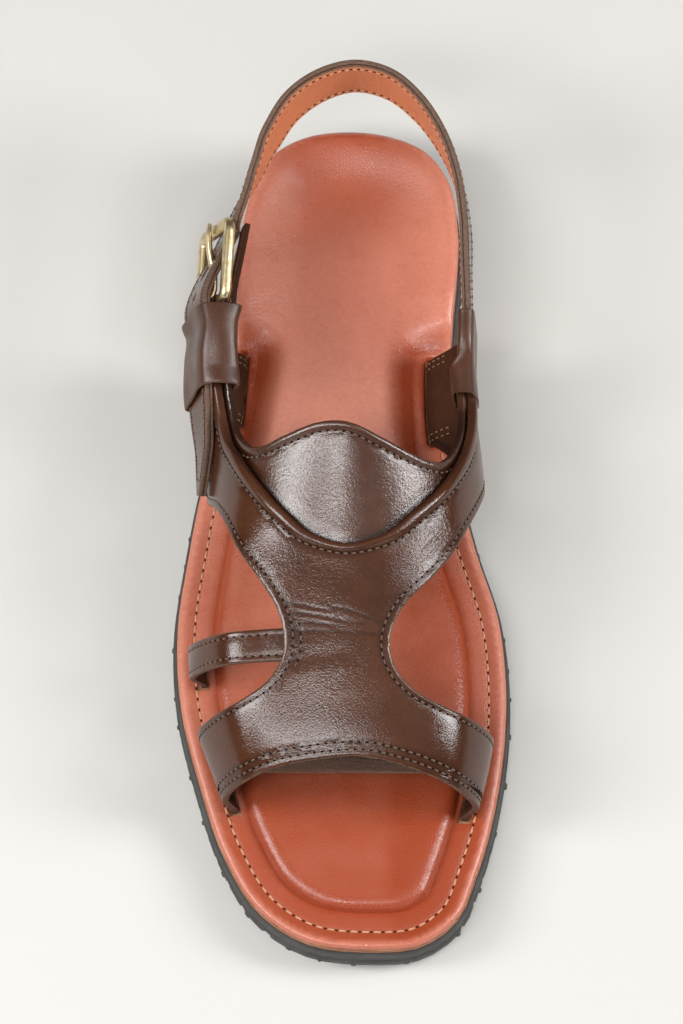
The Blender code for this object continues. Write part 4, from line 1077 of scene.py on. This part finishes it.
def make_hole_cutter(frames):
    """Pin holes down the middle of the strap; the prong stands in the long one."""
    along, up, out = buckle_axes()
    verts, faces, sides = [], [], 20
    spots = [(BUCKLE_CENTRE + along * 0.4, along, out, 5.4)]
    for k in (1, 2, 3):
        y = BUCKLE_CENTRE[1] - k * HOLE_PITCH
        middle = strap_point(frames, y, -1)
        outward = unit(strap_point(frames, y, -1, 0, 1) - middle)
        spots.append((middle, -unit(np.cross(outward, up)), outward, 1.3))
    for middle, direction, outward, half_length in spots:
        faces += tube(len(verts), 2, sides)
        sideways = unit(np.cross(direction, outward)) * min(half_length, 2.3)
        verts += [middle + outward * depth + direction * half_length * c + sideways * s
                  for depth in (-5, 5) for c, s in circle(sides, 9)]
    return add_object("hole_cutter", verts, faces, [])


def softened(path):
    """An open (x, z) path with its corners cut three times over."""
    for _ in range(3):
        near, far = path[:-1] * 0.75 + path[1:] * 0.25, path[:-1] * 0.25 + path[1:] * 0.75
        inner = np.stack([near, far], axis=1).reshape(-1, 2)
        path = np.vstack([path[:1], inner[1:-1], path[-1:]])
    return path


def band_section(path, wall):
    """Closed section of a thin band: the path of (x, z) points and its copy `wall` to the left."""
    step = unit(np.diff(path, axis=0))
    ahead = unit(np.vstack([step[:1], step[:-1] + step[1:], step[-1:]]))
    reach = wall / np.clip(np.sum(ahead * np.vstack([step[:1], step]), axis=1), 0.7, 1)
    return np.vstack([path, (path + left_of(ahead) * reach[:, None])[::-1]])


def make_keeper(looks, name, side, path_at):
    """A band folded over the strap, from the path of its inner face at each station."""
    stations, rows = 46, []
    for y in np.linspace(*KEEPER_Y[side], stations):
        path = np.array([(p[0], p[2]) for p in path_at(y)])
        rows.append([(x, y, z) for x, z in band_section(softened(path), KEEPER_WALL * side)])
    m = len(rows[0])
    half = m // 2
    faces = tube(0, stations, m)[:-2]
    indices = [int(i in (half - 1, m - 1)) for i in range(m)] * (stations - 1)
    for n in (0, (stations - 1) * m):
        faces += [[n + i, n + i + 1, n + m - 2 - i, n + m - 1 - i] for i in range(half - 1)]
        indices += [1] * (half - 1)
    obj = add_object(name + "_band", np.vstack(rows), faces, [looks.satin, looks.cut_edge], indices)
    bevel(obj, 0.3, 2, 55)
    finish_piece(obj, "brown_leather", name)


def lateral_keeper_path(frames, y):
    """Inside the panel, over its top edge, then down the outside of the strap and under it."""
    def strap(across, outward):
        return strap_point(frames, y, -1, across, outward)

    inside = float(panel_depth(y)) + PANEL_WALL + GAP + 0.1
    arm = np.array(PANEL_TOP[-5:])
    edge = np.interp(y, arm[:, 1], arm[:, 0])
    low, middle, high = [under_last(edge + more, y, inside) for more in (-0.14, -0.06, 0.02)]
    ridge = strap(1.04, KEEPER_CLEAR + 1.1)
    top = max(strap(1.0, 0)[2], last_surface(edge, y)[0][2]) + 1.0
    over = [(high[0] * (1 - share) + ridge[0] * share, y, top + lift)
            for share, lift in ((0.2, 1.0), (0.62, 1.7))]
    return [low, middle, high, (high[0] + 0.2, y, top - 0.5), *over, ridge, strap(0, KEEPER_CLEAR),
            strap(-1.02, KEEPER_CLEAR), strap(-1.1, 0.9), strap(-1.11, -0.8)]


def medial_keeper_path(frames, y):
    """Round both layers of the arm in front, and round the heel strap's end behind."""
    blend = float(smooth((y - 42.4) / 4.2))
    inside, outside = float(panel_depth(0.0)) + PANEL_WALL + GAP + 0.2, -GAP - 0.1
    arm = [under_last(w, y, sunk) for w, sunk in ((0.68, inside), (0.54, inside), (0.56, outside),
                                                  (0.62, outside), (0.68, outside))]
    strap = [strap_point(frames, max(y, 48.2), 1, across, side * KEEPER_CLEAR)
             for across, side in ((-0.9, -1), (1.02, -1), (1.02, 1), (0, 1), (-0.96, 1))]
    low_in, high_in, *outer = [a * (1 - blend) + b * blend for a, b in zip(arm, strap)]
    top = float(hermite((36.0, 46.0, 60.5), (53.8, 62.7, 66.5), y))
    high_in[2], outer[0][2] = max(high_in[2], top - 2.0), max(outer[0][2], top - 2.0)
    over = [(high_in[0] * (1 - share) + outer[0][0] * share, y, top) for share in (0.15, 0.85)]
    return [low_in, high_in, *over, *outer]


def make_buckle(looks):
    along, up, out = buckle_axes()
    r, reach, wide = BUCKLE_CORNER, BUCKLE_REACH, BUCKLE_HALF_WIDTH

    def at(u, v, n):
        return BUCKLE_CENTRE + along * u + up * v + out * n

    corner_steps = 8
    line = rounded_bar(2 * reach, 2 * wide, corner_steps, r)
    base_ends = 2 * (corner_steps + 1)  # the thin base bar runs between the second corner and the third
    line[base_ends:base_ends] = [(-reach, v) for v in (wide - r - 1.0, wide - r - 1.9, r + 1.9 - wide,
                                                       r + 1.0 - wide)]
    thick, thin = rounded_bar(*BUCKLE_BAR, 5), rounded_bar(BASE_BAR, BASE_BAR, 5)
    frames = [(at(u, v, 0), along * a + up * b, out)
              for (u, v), (a, b) in zip(line, outwards(np.array(line)))]
    sections = [thin if u < -reach + 0.01 and abs(v) < wide - r - 1.4 else thick for u, v in line]
    frame = sweep("buckle_frame_cast", frames, sections, [looks.brass], closed=True)
    finish_piece(frame, "brass", "buckle_frame")

    width, depth = PRONG
    eye = BASE_BAR / 2 + 0.35 + depth / 2
    tip_n = BUCKLE_BAR[1] / 2 + 0.35 + depth / 2
    path = spline([*arc(-reach, 0, eye, 300, 0, 10)[:-1], (-reach + 4.4, 0.1), (-4.5, -0.1), (1.0, 1.1),
                   (7.0, 2.5), (reach - 2.2, tip_n), (reach + 1.8, tip_n)], 0.7)
    frames = [(at(u, 0, n), up, along * -dn + out * du)
              for (u, n), (du, dn) in zip(path, unit(np.gradient(path, axis=0)))]
    taper, bar = smooth((np.linspace(0, 1, len(frames)) - 0.9) / 0.1), rounded_bar(width, depth, 5)
    sections = [[(a * (1 - 0.3 * t), b * (1 - 0.35 * t)) for a, b in bar] for t in taper]
    finish_piece(sweep("buckle_prong_pin", frames, sections, [looks.brass]), "brass", "buckle_prong")

    inner, tail = BASE_BAR / 2 + 0.35, -reach - 7.8
    legs, gap_edge = [(tail, 1.0), (-reach - 3.0, 1.2)], [(tail, 0.15), (-reach - 2.6, 0.2)]
    section = [*legs, *arc(-reach, 0, inner + CHAPE_WALL, 100, -100, 20), *((u, -n) for u, n in legs[::-1]),
               *((u, -n) for u, n in gap_edge), *arc(-reach, 0, inner, -100, 100, 20), *gap_edge[::-1]]

    def across(name, u, half_width, section, materials):
        ends = [(at(u, v, 0), along, out) for v in (-half_width, half_width)]
        return sweep(name, ends, [section, section], materials)

    chape = across("buckle_chape_strip", 0, CHAPE_WIDTH / 2, section, [looks.brown, looks.cut_edge])
    slot = across("slot_cutter", 0.4 - reach, 2.1, rounded_bar(9.0, 9.0, 1, 0.5), [])
    modify(chape, "BOOLEAN", object=slot)
    bpy.data.objects.remove(slot)
    bevel(chape, 0.2, 2, 50)
    finish_piece(chape, "brown_leather", "buckle_chape")


# ---- stage, lights, camera

LENS, TILT, CAMERA_DISTANCE = 237.18887, 20.0, 1.5
WORLD_LIGHT = (1.0, 0.985, 0.95, 1), 0.11
LIGHTS = {  # place, target, size, power
    "overhead": ((0, 0.0, 1.7), (0, 0.0, 0), (3.0, 2.2), 6.2),
    "front_strip": ((-0.08, -0.52, 1.25), (-0.08, 0, 0.04), (0.36, 0.26), 1.7),
    "left_strip": ((-0.52, -0.47, 1.15), (-0.52, 0, 0.04), (0.8, 0.24), 6.0),
    "left_box": ((-0.95, -0.14, 0.83), (0, -0.14, 0.04), (0.36, 0.6), 8.6),
    "right_box": ((1.03, -0.04, 0.75), (0, -0.04, 0.04), (0.36, 0.5), 9.0),
    "right_inner": ((0.68, 0.16, 1.04), (0, 0.16, 0.04), (0.28, 0.28), 2.0),
    "toe_left": ((-0.75, -0.9, 0.45), (0, -0.05, 0.04), (0.5, 0.4), 1.0),
    "toe_right": ((0.75, -0.9, 0.45), (0, -0.05, 0.04), (0.5, 0.4), 1.0),
    "toe_low": ((0, -1.3, 0.5), (0, -0.1, 0.03), (0.7, 0.25), 1.0),
}


def look_at(obj, place, target):
    obj.location = place
    obj.rotation_euler = (Vector(target) - Vector(place)).to_track_quat("-Z", "Y").to_euler()


def make_stage(looks):
    bpy.ops.mesh.primitive_plane_add(size=6.0, location=(0, 0, 0))
    floor = bpy.context.object
    floor.name = "floor"
    floor.data.materials.append(looks.floor)
    world = bpy.data.worlds.new("studio")
    world.use_nodes = True
    for socket, value in zip(world.node_tree.nodes["Background"].inputs, WORLD_LIGHT):
        socket.default_value = value
    bpy.context.scene.world = world
    bpy.context.scene.view_settings.view_transform = "Standard"
    for name, (place, target, size, power) in LIGHTS.items():
        data = bpy.data.lights.new(name, "AREA")
        data.shape = "RECTANGLE"
        data.size, data.size_y = size
        data.energy = power
        look_at(link(name, data), place, target)


def make_camera():
    """Above the toe with a long lens, looking down at the sole."""
    data = bpy.data.cameras.new("camera")
    data.sensor_fit = "HORIZONTAL"
    data.sensor_width = 36.0
    data.lens = LENS
    camera = link("camera", data)
    tilt = Vector((0, -math.sin(math.radians(TILT)), math.cos(math.radians(TILT))))
    look_at(camera, Vector((0, -0.0032, 0.02)) + tilt * CAMERA_DISTANCE, (0, 0.0066, 0.02))
    bpy.context.scene.camera = camera


def make_materials():
    pinhole = {"roughness": 0.9, "specular": 0.1}
    return SimpleNamespace(
        brown=make_brown_leather("brown_leather"),
        shiny=make_brown_leather("panel_leather", rough=(0.18, 0.27), specular=0.75),
        satin=make_brown_leather("keeper_leather", rough=(0.3, 0.4)),
        # The leather's flesh side, also used as painted shade on the walls of turned-over edges.
        flesh=make_brown_leather("brown_flesh_side", (0.07, 0.024, 0.011), (0.04, 0.013, 0.006), (0.6, 0.75),
                                 0.2, 0.12),
        cut_edge=make_simple("brown_cut_edge", (0.165, 0.095, 0.063), 0.6, 0.35, (0.08, 0.041, 0.026),
                             (0.165, 0.095, 0.063), (1400.0, 4.0, 0.65), (0.35, 0.65),
                             ((2200.0, 3.0), 0.35, 0.0002)),
        tan=make_tan_leather("tan_leather", (0.46, 0.11, 0.054), (0.33, 0.054, 0.017), (0.72, 0.27, 0.185)),
        lining=make_tan_leather("strap_lining", (0.6, 0.2, 0.085), (0.42, 0.11, 0.04), (0.68, 0.27, 0.14)),
        thread=make_thread("brown_thread", (0.2, 0.115, 0.07), (0.09, 0.042, 0.024)),
        gold=make_thread("gold_thread", (0.32, 0.2, 0.08), (0.16, 0.09, 0.03)),
        cream=make_thread("cream_thread", (0.72, 0.4, 0.235), (0.5, 0.23, 0.12)),
        # Near-black discs at the needle holes: painted shade.
        hole=Surface("pinhole", (0.014, 0.006, 0.004), **pinhole).material,
        tan_hole=Surface("tan_pinhole", (0.05, 0.014, 0.007), **pinhole).material,
        board=make_simple("board_edge", (0.42, 0.16, 0.08), 0.6, 0.35, (0.28, 0.09, 0.04), (0.55, 0.27, 0.15),
                          (420.0, 3.0, 0.6, (0.12, 0.12, 6.0)), (0.38, 0.62), (None, 0.4, 0.0003)),
        floor=make_simple("pale_floor", (0.65, 0.639, 0.61), 0.9, 0.0, (0.645, 0.634, 0.605),
                          (0.655, 0.644, 0.615), (3.0,), (0.3, 0.7)),
        rubber=make_rubber(), brass=make_brass())


def main():
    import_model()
    nodes = {obj.name: obj for obj in bpy.data.objects if obj.type == "MESH"}
    looks = make_materials()
    for name, material in (("outsole", looks.rubber), ("midsole", looks.board)):
        nodes[name].data.materials.clear()
        nodes[name].data.materials.append(material)
    make_footbed(looks)
    make_outsole_details(looks)
    looks.face = looks.brown
    make_vamp(looks)
    make_small_strap(looks)
    looks.face = looks.shiny
    make_instep_panel(looks)
    frames = strap_frames()
    make_heel_strap(looks, frames)
    make_keeper(looks, "keeper_lateral", -1, lambda y: lateral_keeper_path(frames, y))
    make_keeper(looks, "keeper_medial", 1, lambda y: medial_keeper_path(frames, y))
    make_buckle(looks)
    make_stage(looks)
    make_camera()


main()
